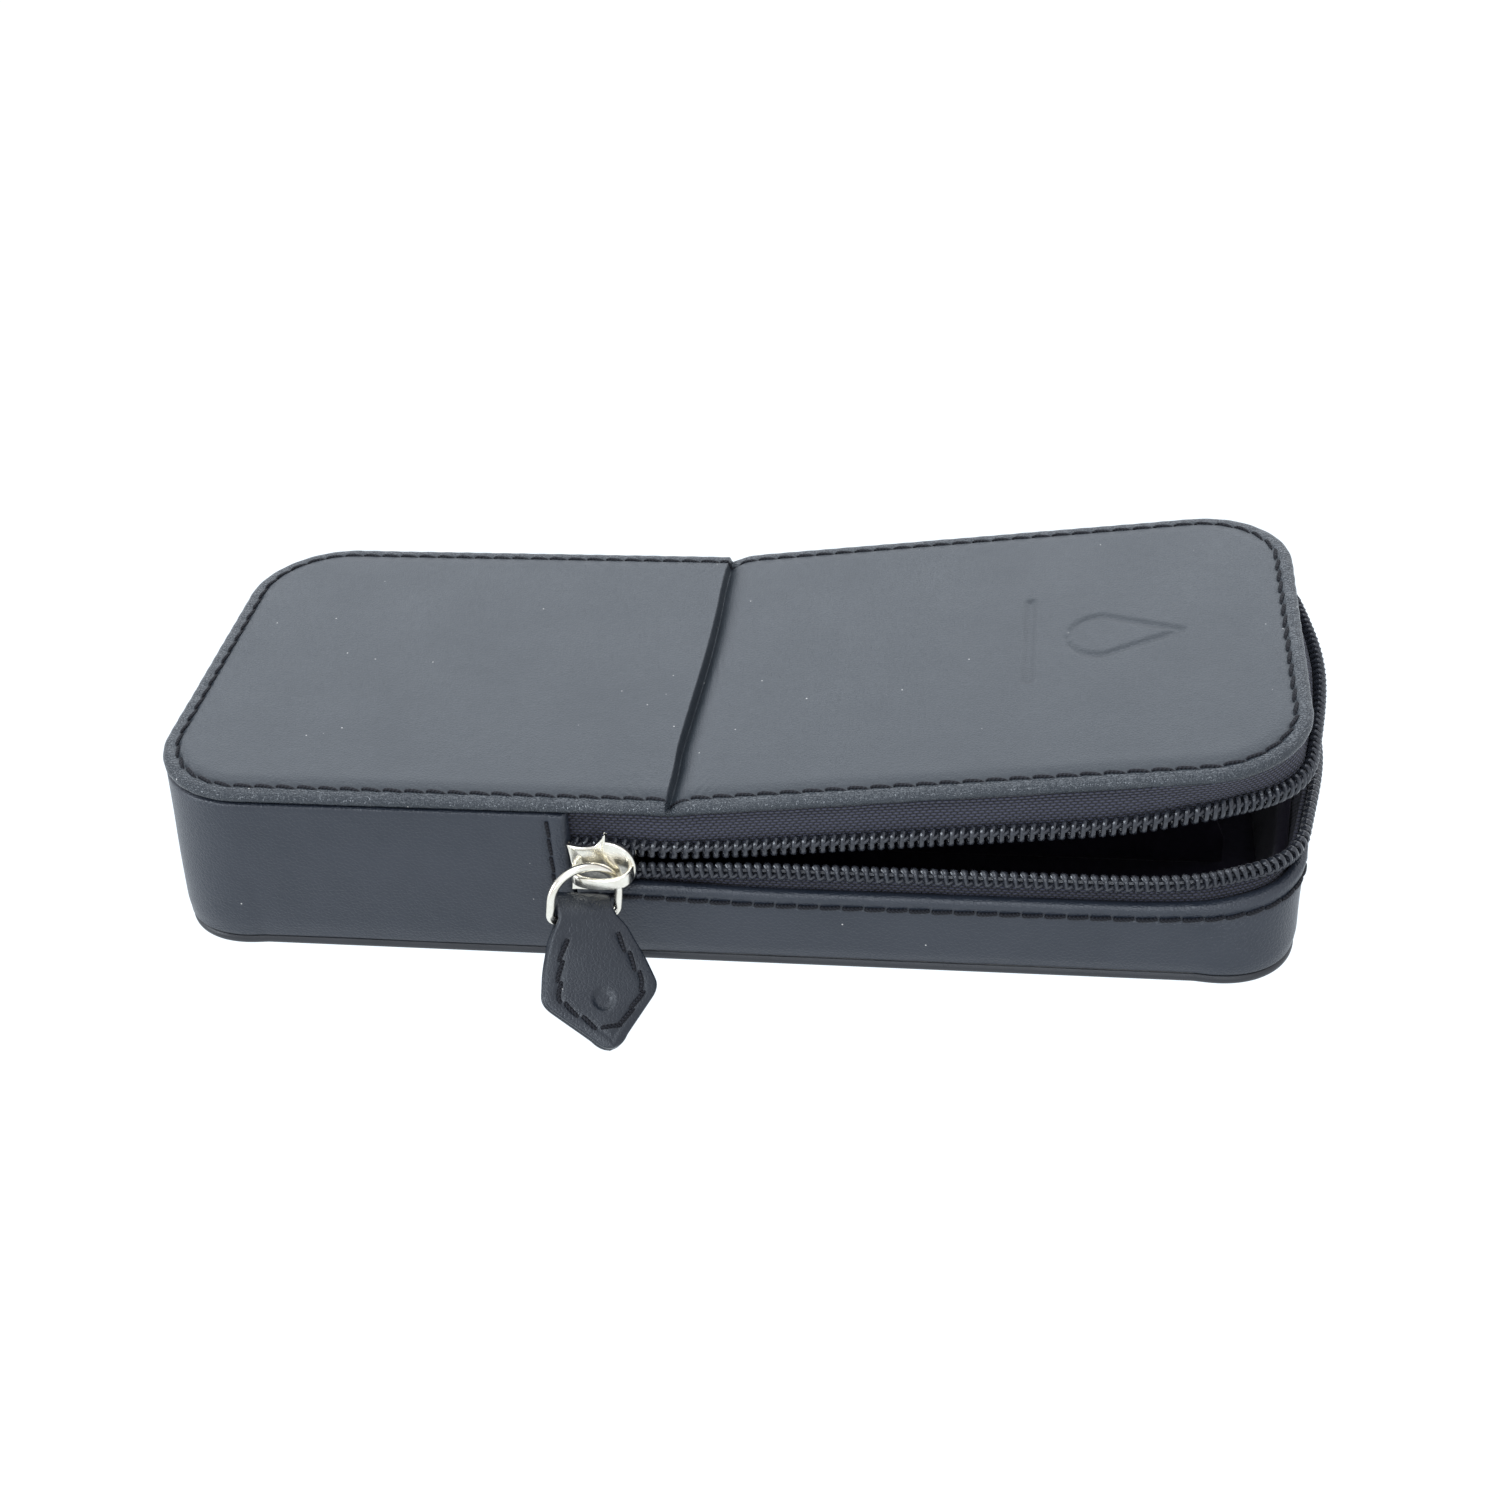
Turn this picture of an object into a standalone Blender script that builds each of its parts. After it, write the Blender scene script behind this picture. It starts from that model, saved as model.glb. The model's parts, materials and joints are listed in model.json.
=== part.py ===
"""Zip-up fountain pen case whose right half opens at a leather crease. Metres, +Z up, front at -Y, lid end at +X."""

import math

import bmesh
import bpy
from mathutils import Matrix, Vector

MM = 0.001

# Overall sizes
LENGTH = 168 * MM
WIDTH = 70 * MM
HEIGHT = 29 * MM
CORNER_RADIUS = 15 * MM

# Where the case divides along its length
CREASE_X = -5.5 * MM  # the lid's hinge line, across the top
ZIP_END_X = -20 * MM  # where the left wall's folded edges close the zip
SEAM_STRIP = 3 * MM  # width of those folded edges
TAPE_TAIL = 4 * MM  # how far the tapes run on behind the left wall
LID_REST_DEG = 6.5  # how far the lid stands open

# Layers of the wall, from the covers' edge inwards
WALL_INSET = 1.2 * MM
WALL_LEATHER = 0.9 * MM
TAPE = 0.5 * MM
BOARD = 1.0 * MM
LINING = 0.6 * MM
GAP = 0.3 * MM  # between pieces that touch

# Bottom and covers
SKIN = 0.7 * MM
BASE_BOARD = 0.8 * MM
COVER_RIM = 2.2 * MM
EDGE_ROUND = 0.55 * MM
HINGE_HALF = 2.5 * MM  # half the width of the bare crease strip
CREASE_DIP = 0.5 * MM

# Zip
ZIP_Z = 18 * MM  # where the two coils meet
COIL_RADIUS = 1.0 * MM
COIL_CLEARANCE = 0.1 * MM
COIL_GAP = 1.2 * MM  # between the two coils, where the slider's post runs
BAND_TOP = 13.8 * MM
BOARD_BELOW_BAND = 0.6 * MM
TAPE_FOOT = 6 * MM
TAPE_PAST_COIL = 0.8 * MM  # the tape's edge stands this far short of the coil's
FLANGE_REACH = 6 * MM  # the upper tape's sewn edge runs this far in under the covers

# Slider
SLIDER_X = -15.3 * MM
PLATE = 0.9 * MM
PLATE_HALF_LENGTH = 5.1 * MM
PLATE_HALF_HEIGHT = 3.9 * MM
PLATE_HOLLOW = 0.9 * MM
POST_LENGTH = 2.6 * MM
POST_THICK = 0.8 * MM
FLANGE_THICK = 0.6 * MM
BRIDGE_HALF_LENGTH = 4.6 * MM
BRIDGE_HEIGHT = 3.7 * MM
BRIDGE_THICK = 0.8 * MM
BRIDGE_HALF_WIDTH = 1.0 * MM

# Ring and tab
WIRE = 1.3 * MM
RING_HALF_WIDTH = 5.1 * MM
RING_ARC = 4.8 * MM
RING_LEG = 3.3 * MM
RING_CORNER = 1.1 * MM
RING_TOP_OFFSET = Vector((-1.73, -3.28, 2.45)) * MM  # the middle of its arc, from the slider
RING_TURN_DEG = (30.9, 81.9, 11.3)  # about +Z, down from level, and within its own plane
RING_PIVOT_OFFSET = Vector((0, -4.5, 0)) * MM
TAB_TIP_OFFSET = Vector((3, -19.5, -16.75)) * MM
TAB_LAYER = 0.75 * MM
TAB_SPACE = 0.9 * MM  # between the tab's two layers
TAB_FILLER = 0.3 * MM
TAB_LOOP_CLEARANCE = 0.3 * MM
TAB_NECK = 4.0 * MM
TAB_SHOULDER = (5.6 * MM, 1.7 * MM)
TAB_FLARE = (7.6 * MM, 7.0 * MM)
TAB_WIDEST = (8.6 * MM, 11.8 * MM)
TAB_ROUND = 2.0 * MM
TAB_SEAM = 2.4 * MM  # the filler stays inside the stitching

# Inside
DIVIDER = 1.6 * MM
DIVIDER_TOP = 13 * MM
DIVIDER_END_GAP = 5 * MM

ARC_STEPS = 8

# Levels and insets that follow from the sizes above
HALF_LENGTH = LENGTH / 2
HALF_WIDTH = WIDTH / 2
BASE_TOP = SKIN + GAP + BASE_BOARD
WALL_FOOT = BASE_TOP + GAP
COVER_FOOT = HEIGHT - COVER_RIM
WALL_HEAD = COVER_FOOT - GAP
LINED_HEAD = WALL_HEAD - TAPE - GAP
TAPE_INSET = WALL_INSET + WALL_LEATHER + GAP
BOARD_INSET = TAPE_INSET + TAPE + GAP
LINING_INSET = BOARD_INSET + BOARD + GAP
CAVITY_INSET = LINING_INSET + LINING
COIL_INSET = TAPE_INSET - COIL_CLEARANCE - COIL_RADIUS
LOWER_COIL_Z = ZIP_Z - COIL_GAP / 2 - COIL_RADIUS
UPPER_COIL_Z = ZIP_Z + COIL_GAP / 2 + COIL_RADIUS
FRONT = -HALF_WIDTH
SLIDER = Vector((SLIDER_X, FRONT + COIL_INSET - COIL_RADIUS - GAP, ZIP_Z))  # the back of its front plate
RING_TOP = SLIDER + RING_TOP_OFFSET
RING_PIVOT = SLIDER + RING_PIVOT_OFFSET
TAB_TIP = SLIDER + TAB_TIP_OFFSET


def clear_scene():
    for obj in list(bpy.data.objects):
        bpy.data.objects.remove(obj, do_unlink=True)


def new_collection(name):
    collection = bpy.data.collections.new(name)
    bpy.context.scene.collection.children.link(collection)
    return collection


def material(name, colour, roughness, metallic=0.0):
    made = bpy.data.materials.new(name)
    made.use_nodes = True
    shader = made.node_tree.nodes["Principled BSDF"]
    shader.inputs["Base Color"].default_value = (*colour, 1)
    shader.inputs["Roughness"].default_value = roughness
    shader.inputs["Metallic"].default_value = metallic
    made.diffuse_color = (*colour, 1)
    return made


def add(name, data, look, collection):
    """A new object holding this mesh or curve."""
    obj = bpy.data.objects.new(name, data)
    data.materials.append(look)
    collection.objects.link(obj)
    return obj


def cutter(name, data):
    obj = bpy.data.objects.new(name, data)
    CUTTERS.objects.link(obj)
    obj.hide_render = True
    obj.display_type = "WIRE"
    return obj


def poly_spline(curve, points, cyclic):
    spline = curve.splines.new("POLY")
    spline.points.add(len(points) - 1)
    for spot, point in zip(spline.points, points):
        spot.co = (*point, 0, 1) if len(point) == 2 else (*point, 1)
    spline.use_cyclic_u = cyclic


def flat_curve(name, points, low, high):
    """A flat outline from height low to height high, as a 2D curve."""
    curve = bpy.data.curves.new(name, "CURVE")
    curve.dimensions = "2D"
    curve.fill_mode = "BOTH"
    curve.extrude = (high - low) / 2
    poly_spline(curve, points, True)
    return curve


def panel_mesh(name, points, low, high, placed=None):
    """The same slab as a closed mesh, for pieces that are cut, joined or rounded."""
    guide = bpy.data.objects.new(name + "_guide", flat_curve(name, points, low, high))
    CUTTERS.objects.link(guide)
    bpy.context.view_layer.update()
    graph = bpy.context.evaluated_depsgraph_get()
    mesh = bpy.data.meshes.new_from_object(guide.evaluated_get(graph))
    bpy.data.objects.remove(guide, do_unlink=True)
    mesh.materials.clear()
    shape = bmesh.new()
    shape.from_mesh(mesh)
    bmesh.ops.translate(shape, verts=shape.verts, vec=(0, 0, (low + high) / 2))
    bmesh.ops.remove_doubles(shape, verts=shape.verts, dist=0.001 * MM)
    bmesh.ops.recalc_face_normals(shape, faces=shape.faces)
    if placed:
        bmesh.ops.transform(shape, matrix=placed, verts=shape.verts)
    shape.to_mesh(mesh)
    shape.free()
    return mesh


def panel(name, points, low, high, look):
    """A flat piece cut to an outline, lying from height low to height high."""
    obj = add(name, flat_curve(name, points, low, high), look, PARTS)
    obj.location.z = (low + high) / 2
    return obj


def boolean(obj, other, operation):
    modifier = obj.modifiers.new(operation.lower() + "_" + other.name, "BOOLEAN")
    modifier.operation = operation
    modifier.object = other
    modifier.solver = "EXACT"
    return modifier


def rounded(obj, width, segments=2):
    modifier = obj.modifiers.new("rounded_edges", "BEVEL")
    modifier.width = width
    modifier.segments = segments
    modifier.limit_method = "ANGLE"
    modifier.angle_limit = math.radians(50)
    return modifier


def arc(centre, radius, first_deg, last_deg, steps=ARC_STEPS):
    points = []
    for step in range(steps + 1):
        angle = math.radians(first_deg + (last_deg - first_deg) * step / steps)
        points.append((centre[0] + radius * math.cos(angle), centre[1] + radius * math.sin(angle)))
    return points


def corner(side_x, side_y, inset, first_deg):
    """One corner arc of the case's outline, at an inset, turning a quarter anticlockwise."""
    centre = (side_x * (HALF_LENGTH - CORNER_RADIUS), side_y * (HALF_WIDTH - CORNER_RADIUS))
    return arc(centre, CORNER_RADIUS - inset, first_deg, first_deg + 90)


def right_run(x, inset):
    """From x on the front side, round the lid end, and back to x on the back side."""
    side = HALF_WIDTH - inset
    return [(x, -side)] + corner(1, -1, inset, -90) + corner(1, 1, inset, 0) + [(x, side)]


def left_run(x, inset):
    """From x on the back side, round the fixed end, and back to x on the front side."""
    side = HALF_WIDTH - inset
    return [(x, side)] + corner(-1, 1, inset, 90) + corner(-1, -1, inset, 180) + [(x, -side)]


def full_run(inset):
    return right_run(0, inset)[1:-1] + left_run(0, inset)[1:-1]


def strip(run, x, inset, thickness):
    """The outline of a wall strip that follows the case's side."""
    return run(x, inset) + run(x, inset + thickness)[::-1]


def straight_strip(x_low, x_high, side, inset, thickness):
    """The outline of a short strip on the front (-1) or back (+1) side."""
    outer = side * (HALF_WIDTH - inset)
    inner = side * (HALF_WIDTH - inset - thickness)
    return [(x_low, outer), (x_high, outer), (x_high, inner), (x_low, inner)]


def fillet(corners, radius, steps=4):
    """A closed outline with each corner made round."""
    points = []
    for index, here in enumerate(corners):
        here = Vector(here)
        before = Vector(corners[index - 1]) - here
        after = Vector(corners[(index + 1) % len(corners)]) - here
        half = before.angle(after) / 2
        reach = min(radius / math.tan(half), 0.49 * before.length, 0.49 * after.length)
        real = reach * math.tan(half)
        centre = here + (before.normalized() + after.normalized()).normalized() * real / math.sin(half)
        start = here + before.normalized() * reach - centre
        turn = start.angle_signed(here + after.normalized() * reach - centre)
        for step in range(steps + 1):
            spot = centre + Matrix.Rotation(-turn * step / steps, 2) @ start
            points.append(tuple(spot))
    return points


def tray(name, outline, pocket, low, high, floor_low, floor_high, look):
    """A leather shell with a turned edge: a rounded slab, hollowed by a pocket between two heights."""
    obj = add(name, panel_mesh(name, outline, low, high), look, PARTS)
    rounded(obj, EDGE_ROUND)
    hollow = cutter(name + "_pocket", panel_mesh(name + "_pocket", pocket, floor_low, floor_high))
    boolean(obj, hollow, "DIFFERENCE")
    return obj, hollow


def build_base():
    tray("base_leather", full_run(0), full_run(SKIN), 0, BASE_TOP, SKIN, BASE_TOP + SKIN, LEATHER)
    panel("base_board", full_run(SKIN + GAP), SKIN + GAP, BASE_TOP, CARD)
    panel("base_lining", full_run(LINING_INSET), WALL_FOOT, WALL_FOOT + LINING, SUEDE)


def build_walls():
    lined_foot = WALL_FOOT + LINING + GAP
    board_top = BAND_TOP - BOARD_BELOW_BAND
    seam_x = ZIP_END_X - SEAM_STRIP
    panel("wall_leather", strip(left_run, seam_x - GAP, WALL_INSET, WALL_LEATHER), WALL_FOOT, WALL_HEAD, LEATHER)
    panel("wall_board_left", strip(left_run, ZIP_END_X, BOARD_INSET, BOARD), WALL_FOOT, LINED_HEAD, CARD)
    panel("wall_lining_left", strip(left_run, ZIP_END_X, LINING_INSET, LINING), lined_foot, LINED_HEAD, SUEDE)
    band_x = ZIP_END_X + GAP
    panel("band_leather", strip(right_run, band_x, WALL_INSET, WALL_LEATHER), WALL_FOOT, BAND_TOP, LEATHER)
    panel("wall_board_right", strip(right_run, band_x, BOARD_INSET, BOARD), WALL_FOOT, board_top, CARD)
    panel("wall_lining_right", strip(right_run, band_x, LINING_INSET, LINING), lined_foot, board_top, SUEDE)
    for side, place in ((-1, "front"), (1, "back")):
        outline = straight_strip(seam_x, ZIP_END_X, side, WALL_INSET, WALL_LEATHER)
        panel("seam_strip_" + place, outline, WALL_FOOT, WALL_HEAD, LEATHER)


def build_zip_sides():
    tail_x = ZIP_END_X - TAPE_TAIL
    coil_x = ZIP_END_X + GAP
    lower_top = LOWER_COIL_Z + COIL_RADIUS - TAPE_PAST_COIL
    upper_foot = UPPER_COIL_Z - COIL_RADIUS + TAPE_PAST_COIL
    panel("zip_tape_lower", strip(right_run, tail_x, TAPE_INSET, TAPE), TAPE_FOOT, lower_top, WEAVE)
    coil("zip_coil_lower", right_run(coil_x, COIL_INSET), LOWER_COIL_Z)
    for side, place in ((-1, "front"), (1, "back")):
        stop_x = CREASE_X - GAP / 2
        leg = straight_strip(tail_x, stop_x, side, TAPE_INSET, TAPE)
        flange = straight_strip(tail_x, stop_x, side, TAPE_INSET, FLANGE_REACH - TAPE_INSET)
        upper_tape("zip_tape_upper_fixed_" + place, leg, flange, upper_foot)
        y = side * (HALF_WIDTH - COIL_INSET)
        coil("zip_coil_upper_fixed_" + place, [(coil_x, y), (stop_x, y)], UPPER_COIL_Z)
    start_x = CREASE_X + GAP / 2
    leg = strip(right_run, start_x, TAPE_INSET, TAPE)
    flange = strip(right_run, start_x, TAPE_INSET, FLANGE_REACH - TAPE_INSET)
    tape = upper_tape("zip_tape_upper_lid", leg, flange, upper_foot)
    bead = coil("zip_coil_upper_lid", right_run(start_x, COIL_INSET), UPPER_COIL_Z)
    return [*tape, bead]


def upper_tape(name, leg, flange, foot):
    """A tape that hangs from a flange sewn under the cover."""
    obj = add(name, panel_mesh(name, leg, foot, WALL_HEAD), WEAVE, PARTS)
    sewn = cutter(name + "_flange", panel_mesh(name + "_flange", flange, WALL_HEAD - TAPE, WALL_HEAD))
    boolean(obj, sewn, "UNION")
    return obj, sewn


def coil(name, run, z):
    """The bead that one side's nylon coil fills."""
    curve = bpy.data.curves.new(name, "CURVE")
    curve.dimensions = "3D"
    curve.bevel_depth = COIL_RADIUS
    curve.bevel_resolution = 2
    curve.use_fill_caps = True
    poly_spline(curve, [(x, y, z) for x, y in run], False)
    return add(name, curve, NYLON, PARTS)


def build_fixed_cover():
    edge = CREASE_X - HINGE_HALF - GAP
    outline = left_run(edge, 0)
    pocket = left_run(edge + COVER_RIM, SKIN)
    tray("fixed_cover_leather", outline, pocket, COVER_FOOT, HEIGHT, COVER_FOOT - SKIN, HEIGHT - SKIN, LEATHER)
    board_top = HEIGHT - SKIN - GAP
    panel("fixed_cover_board", left_run(edge, SKIN + GAP), board_top - BOARD, board_top, CARD)
    panel("fixed_cover_lining", left_run(edge, FLANGE_REACH + GAP), WALL_HEAD - LINING, WALL_HEAD, SUEDE)


def build_hinge_leather():
    """The crease strip, bent by the lid's rest angle and dipped where it folds."""
    bend = Matrix.Rotation(math.radians(LID_REST_DEG), 2)
    shoulder = HINGE_HALF / 3
    left = [Vector((-HINGE_HALF, 0)), Vector((-shoulder, 0))]
    right = [bend @ Vector((shoulder, 0)), bend @ Vector((HINGE_HALF, 0))]
    down = Vector((0, -SKIN))
    top = left + [Vector((0, -CREASE_DIP))] + right
    under = [left[0] + down, Vector((0, -CREASE_DIP - SKIN)), bend @ Vector((HINGE_HALF, -SKIN))]
    profile = [tuple(point) for point in top + under[::-1]]
    curve = flat_curve("hinge_leather", profile, -HALF_WIDTH, HALF_WIDTH)
    obj = add("hinge_leather", curve, LEATHER, PARTS)
    obj.location = (CREASE_X, 0, HEIGHT)
    obj.rotation_euler.x = math.radians(90)


def build_lid(zip_pieces):
    """The lid is modelled shut, then turned about the crease with the zip side that it carries."""
    edge = CREASE_X + HINGE_HALF + GAP
    outline = right_run(edge, 0)
    pocket = right_run(edge - COVER_RIM, SKIN)
    shell = tray("lid_leather", outline, pocket, COVER_FOOT, HEIGHT, COVER_FOOT - SKIN, HEIGHT - SKIN, LEATHER)
    board_top = HEIGHT - SKIN - GAP
    board = panel("lid_board", right_run(edge, SKIN + GAP), board_top - BOARD, board_top, CARD)
    lined = right_run(edge, FLANGE_REACH + GAP)
    lining = panel("lid_lining", lined, WALL_HEAD - LINING, WALL_HEAD, SUEDE)
    place = Matrix.Translation((CREASE_X, 0, HEIGHT)) @ Matrix.Rotation(math.radians(-LID_REST_DEG), 4, "Y")
    carry("lid_axis", place, [*shell, board, lining, *zip_pieces], Matrix.Translation((-CREASE_X, 0, -HEIGHT)))


def carry(name, place, pieces, inverse=None):
    """Hangs pieces on an empty that stands on their joint's axis."""
    axis = bpy.data.objects.new(name, None)
    PARTS.objects.link(axis)
    axis.matrix_world = place
    bpy.context.view_layer.update()
    for piece in pieces:
        piece.parent = axis
        piece.matrix_parent_inverse = inverse or Matrix.Identity(4)


def slab(name, outline, y_front, y_back):
    """A slab drawn in X and Y about the slider's middle, stood up in X and Z."""
    upright = Matrix.Translation((SLIDER.x, y_back, SLIDER.z)) @ Matrix.Rotation(math.radians(90), 4, "X")
    return panel_mesh(name, outline, 0, y_back - y_front, upright)


def rectangle(x_low, x_high, y_low, y_high):
    return [(x_low, y_low), (x_high, y_low), (x_high, y_high), (x_low, y_high)]


def plate_outline():
    """A plate with two horns above and below its narrow end, and a round leading end."""
    length, height = PLATE_HALF_LENGTH, PLATE_HALF_HEIGHT
    hollow_from, hollow_to = -length, 0.15 * length
    middle, half = (hollow_from + hollow_to) / 2, (hollow_to - hollow_from) / 2
    top = []
    for step in range(ARC_STEPS + 1):
        across = -1 + 2 * step / ARC_STEPS
        top.append((middle + half * across, height - PLATE_HOLLOW * (1 - across * across)))
    nose = [(hollow_to + (length - hollow_to) * math.sin(a), height * math.cos(a))
            for a in (math.radians(15 * n) for n in range(1, 12))]
    bottom = [(x, -y) for x, y in top[::-1]]
    return (top + nose + bottom)[::-1]


def build_slider():
    plate = slab("slider_body", plate_outline(), SLIDER.y - PLATE, SLIDER.y)
    obj = add("slider_body", plate, NICKEL, PARTS)
    rounded(obj, 0.12 * MM, 1)
    inner_front = FRONT + BOARD_INSET
    reach = PLATE_HALF_LENGTH - 0.8 * MM
    inner_plate = fillet(rectangle(-reach, reach, -PLATE_HALF_HEIGHT, PLATE_HALF_HEIGHT), 1.2 * MM)
    pieces = [slab("slider_inner", inner_plate, inner_front, inner_front + PLATE)]
    post_end = PLATE_HALF_LENGTH - 1.2 * MM
    post = rectangle(post_end - POST_LENGTH, post_end, -POST_THICK / 2, POST_THICK / 2)
    pieces.append(slab("slider_post", post, SLIDER.y - PLATE / 2, inner_front + PLATE / 2))
    lip_low = -PLATE_HALF_HEIGHT
    lip_high = lip_low + FLANGE_THICK
    lip = rectangle(-0.4 * PLATE_HALF_LENGTH, 0.4 * PLATE_HALF_LENGTH, lip_low, lip_high)
    pieces.append(slab("slider_lip", lip, SLIDER.y - PLATE / 2, FRONT + TAPE_INSET - GAP))
    pieces.append(bridge_mesh())
    helpers = []
    for mesh in pieces:
        helpers.append(cutter(mesh.name, mesh))
        boolean(obj, helpers[-1], "UNION")
    carry("slider_axis", Matrix.Translation(SLIDER), [obj, *helpers], Matrix.Translation(-SLIDER))


def bridge_mesh():
    """An oval arch that stands out from the slider's front plate."""
    foot = SLIDER.y - 0.7 * PLATE

    def bow(half_length, height):
        angles = [math.radians(180 * step / (2 * ARC_STEPS)) for step in range(2 * ARC_STEPS + 1)]
        return [(half_length * math.cos(a), -height * max(math.sin(a), 0) ** 0.6) for a in angles]

    outer = bow(BRIDGE_HALF_LENGTH, BRIDGE_HEIGHT + 0.3 * PLATE)
    inner = bow(BRIDGE_HALF_LENGTH - BRIDGE_THICK, BRIDGE_HEIGHT - BRIDGE_THICK + 0.3 * PLATE)
    outline = [(SLIDER.x + x, foot + y) for x, y in outer + inner[::-1]]
    return panel_mesh("slider_bridge", outline, SLIDER.z - BRIDGE_HALF_WIDTH, SLIDER.z + BRIDGE_HALF_WIDTH)


def ring_axes():
    """Unit vectors across the ring, and along it from its arc to its straight bar."""
    turn, tilt, roll = (math.radians(angle) for angle in RING_TURN_DEG)
    across = Vector((math.cos(turn), math.sin(turn), 0))
    away = Vector((math.sin(turn), -math.cos(turn), 0))
    down = math.cos(tilt) * away + math.sin(tilt) * Vector((0, 0, -1))
    bar = math.cos(roll) * across + math.sin(roll) * down
    along = -math.sin(roll) * across + math.cos(roll) * down
    return bar, along


def build_ring():
    bar, along = ring_axes()
    low = -RING_LEG
    outline = [(RING_HALF_WIDTH * x, RING_ARC * y) for x, y in arc((0, 0), 1, 0, 180, 2 * ARC_STEPS)]
    left = (-RING_HALF_WIDTH + RING_CORNER, low + RING_CORNER)
    right = (RING_HALF_WIDTH - RING_CORNER, low + RING_CORNER)
    outline += arc(left, RING_CORNER, 180, 270, 4) + arc(right, RING_CORNER, 270, 360, 4)
    curve = bpy.data.curves.new("pull_ring", "CURVE")
    curve.dimensions = "3D"
    curve.bevel_depth = WIRE / 2
    curve.bevel_resolution = 2
    points = [RING_TOP - RING_PIVOT + x * bar + (RING_ARC - y) * along for x, y in outline]
    poly_spline(curve, points, True)
    obj = add("pull_ring", curve, NICKEL, PARTS)
    carry("ring_axis", Matrix.Translation(RING_PIVOT), [obj])


def tab_profile(length):
    """The folded leather seen from the side: two layers that open round the wire."""
    inside = WIRE / 2 + TAB_LOOP_CLEARANCE
    outside = inside + TAB_LAYER
    near, far = TAB_SPACE / 2, TAB_SPACE / 2 + TAB_LAYER
    outer = arc((0, 0), outside, 60, 300, 2 * ARC_STEPS)
    inner = arc((0, 0), inside, 60, 300, 2 * ARC_STEPS)
    blend_at = 2 * outside
    return (
        [(length, far), (blend_at, far)] + outer + [(blend_at, -far), (length, -far), (length, -near)]
        + [(blend_at, -near)] + inner[::-1] + [(blend_at, near), (length, near)]
    )


def tab_outline(length, inset, top):
    """A five-sided tab with round corners, from y = top to its tip."""
    tip = 0.9 * MM
    half = [(TAB_NECK, top), (TAB_NECK, TAB_SHOULDER[1] - 1.4 * MM), TAB_SHOULDER, TAB_FLARE, TAB_WIDEST]
    right = [(x - inset, y) for x, y in half] + [(tip, length - 1.3 * inset)]
    left = [(-x, y) for x, y in right[::-1]]
    return fillet(left + right, TAB_ROUND)


def build_tab():
    bar, along = ring_axes()
    middle = RING_TOP + (RING_ARC + RING_LEG) * along
    reach = TAB_TIP - middle
    reach -= reach.dot(bar) * bar
    length = reach.length
    ahead = reach.normalized()
    place = Matrix.Identity(4)
    for column, axis in enumerate((bar, ahead, bar.cross(ahead))):
        place.col[column].xyz = axis
    place.translation = middle
    wide = TAB_WIDEST[0] + TAB_LAYER
    stand = Matrix(((0, 0, 1, 0), (1, 0, 0, 0), (0, 1, 0, 0), (0, 0, 0, 1)))
    strap = panel_mesh("pull_tab_leather", tab_profile(length + TAB_LAYER), -wide, wide, stand)
    folded = add("pull_tab_leather", strap, LEATHER, PARTS)
    top = -(WIRE / 2 + TAB_LOOP_CLEARANCE + 2 * TAB_LAYER)
    shape = panel_mesh("tab_outline", tab_outline(length, 0, top), -4 * TAB_LAYER, 4 * TAB_LAYER)
    trim = cutter("tab_outline", shape)
    boolean(folded, trim, "INTERSECT")
    filler_top = WIRE + 2 * (TAB_LOOP_CLEARANCE + TAB_LAYER)
    inside = [(x, y) for x, y in tab_outline(length, TAB_SEAM, top) if y > filler_top]
    filler = panel("pull_tab_filler", inside, -TAB_FILLER / 2, TAB_FILLER / 2, CARD)
    carry("tab_axis", place, [folded, trim, filler])


def build_dividers():
    low = WALL_FOOT + LINING + GAP
    length = LENGTH - 2 * (CAVITY_INSET + DIVIDER_END_GAP)
    pitch = (WIDTH - 2 * CAVITY_INSET) / 3
    for side, place in ((-1, "front"), (1, "back")):
        name = "pen_divider_" + place
        shape = bmesh.new()
        bmesh.ops.create_cube(shape, size=1)
        bmesh.ops.scale(shape, verts=shape.verts, vec=(length, DIVIDER, DIVIDER_TOP - low))
        mesh = bpy.data.meshes.new(name)
        shape.to_mesh(mesh)
        shape.free()
        obj = add(name, mesh, SUEDE, PARTS)
        obj.location = (0, side * pitch / 2, (low + DIVIDER_TOP) / 2)
        rounded(obj, 0.3 * DIVIDER)


clear_scene()
PARTS = new_collection("fountain_pen_case")
CUTTERS = new_collection("cutters")
LEATHER = material("black_leather", (0.022, 0.024, 0.029), 0.42)
CARD = material("grey_board", (0.16, 0.15, 0.14), 0.9)
SUEDE = material("dark_suede", (0.018, 0.018, 0.021), 0.95)
WEAVE = material("black_tape", (0.012, 0.012, 0.016), 0.85)
NYLON = material("black_nylon", (0.01, 0.01, 0.013), 0.35)
NICKEL = material("nickel", (0.78, 0.75, 0.68), 0.22, 1.0)

build_base()
build_walls()
lid_zip = build_zip_sides()
build_fixed_cover()
build_hinge_leather()
build_lid(lid_zip)
build_slider()
build_ring()
build_tab()
build_dividers()
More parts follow.
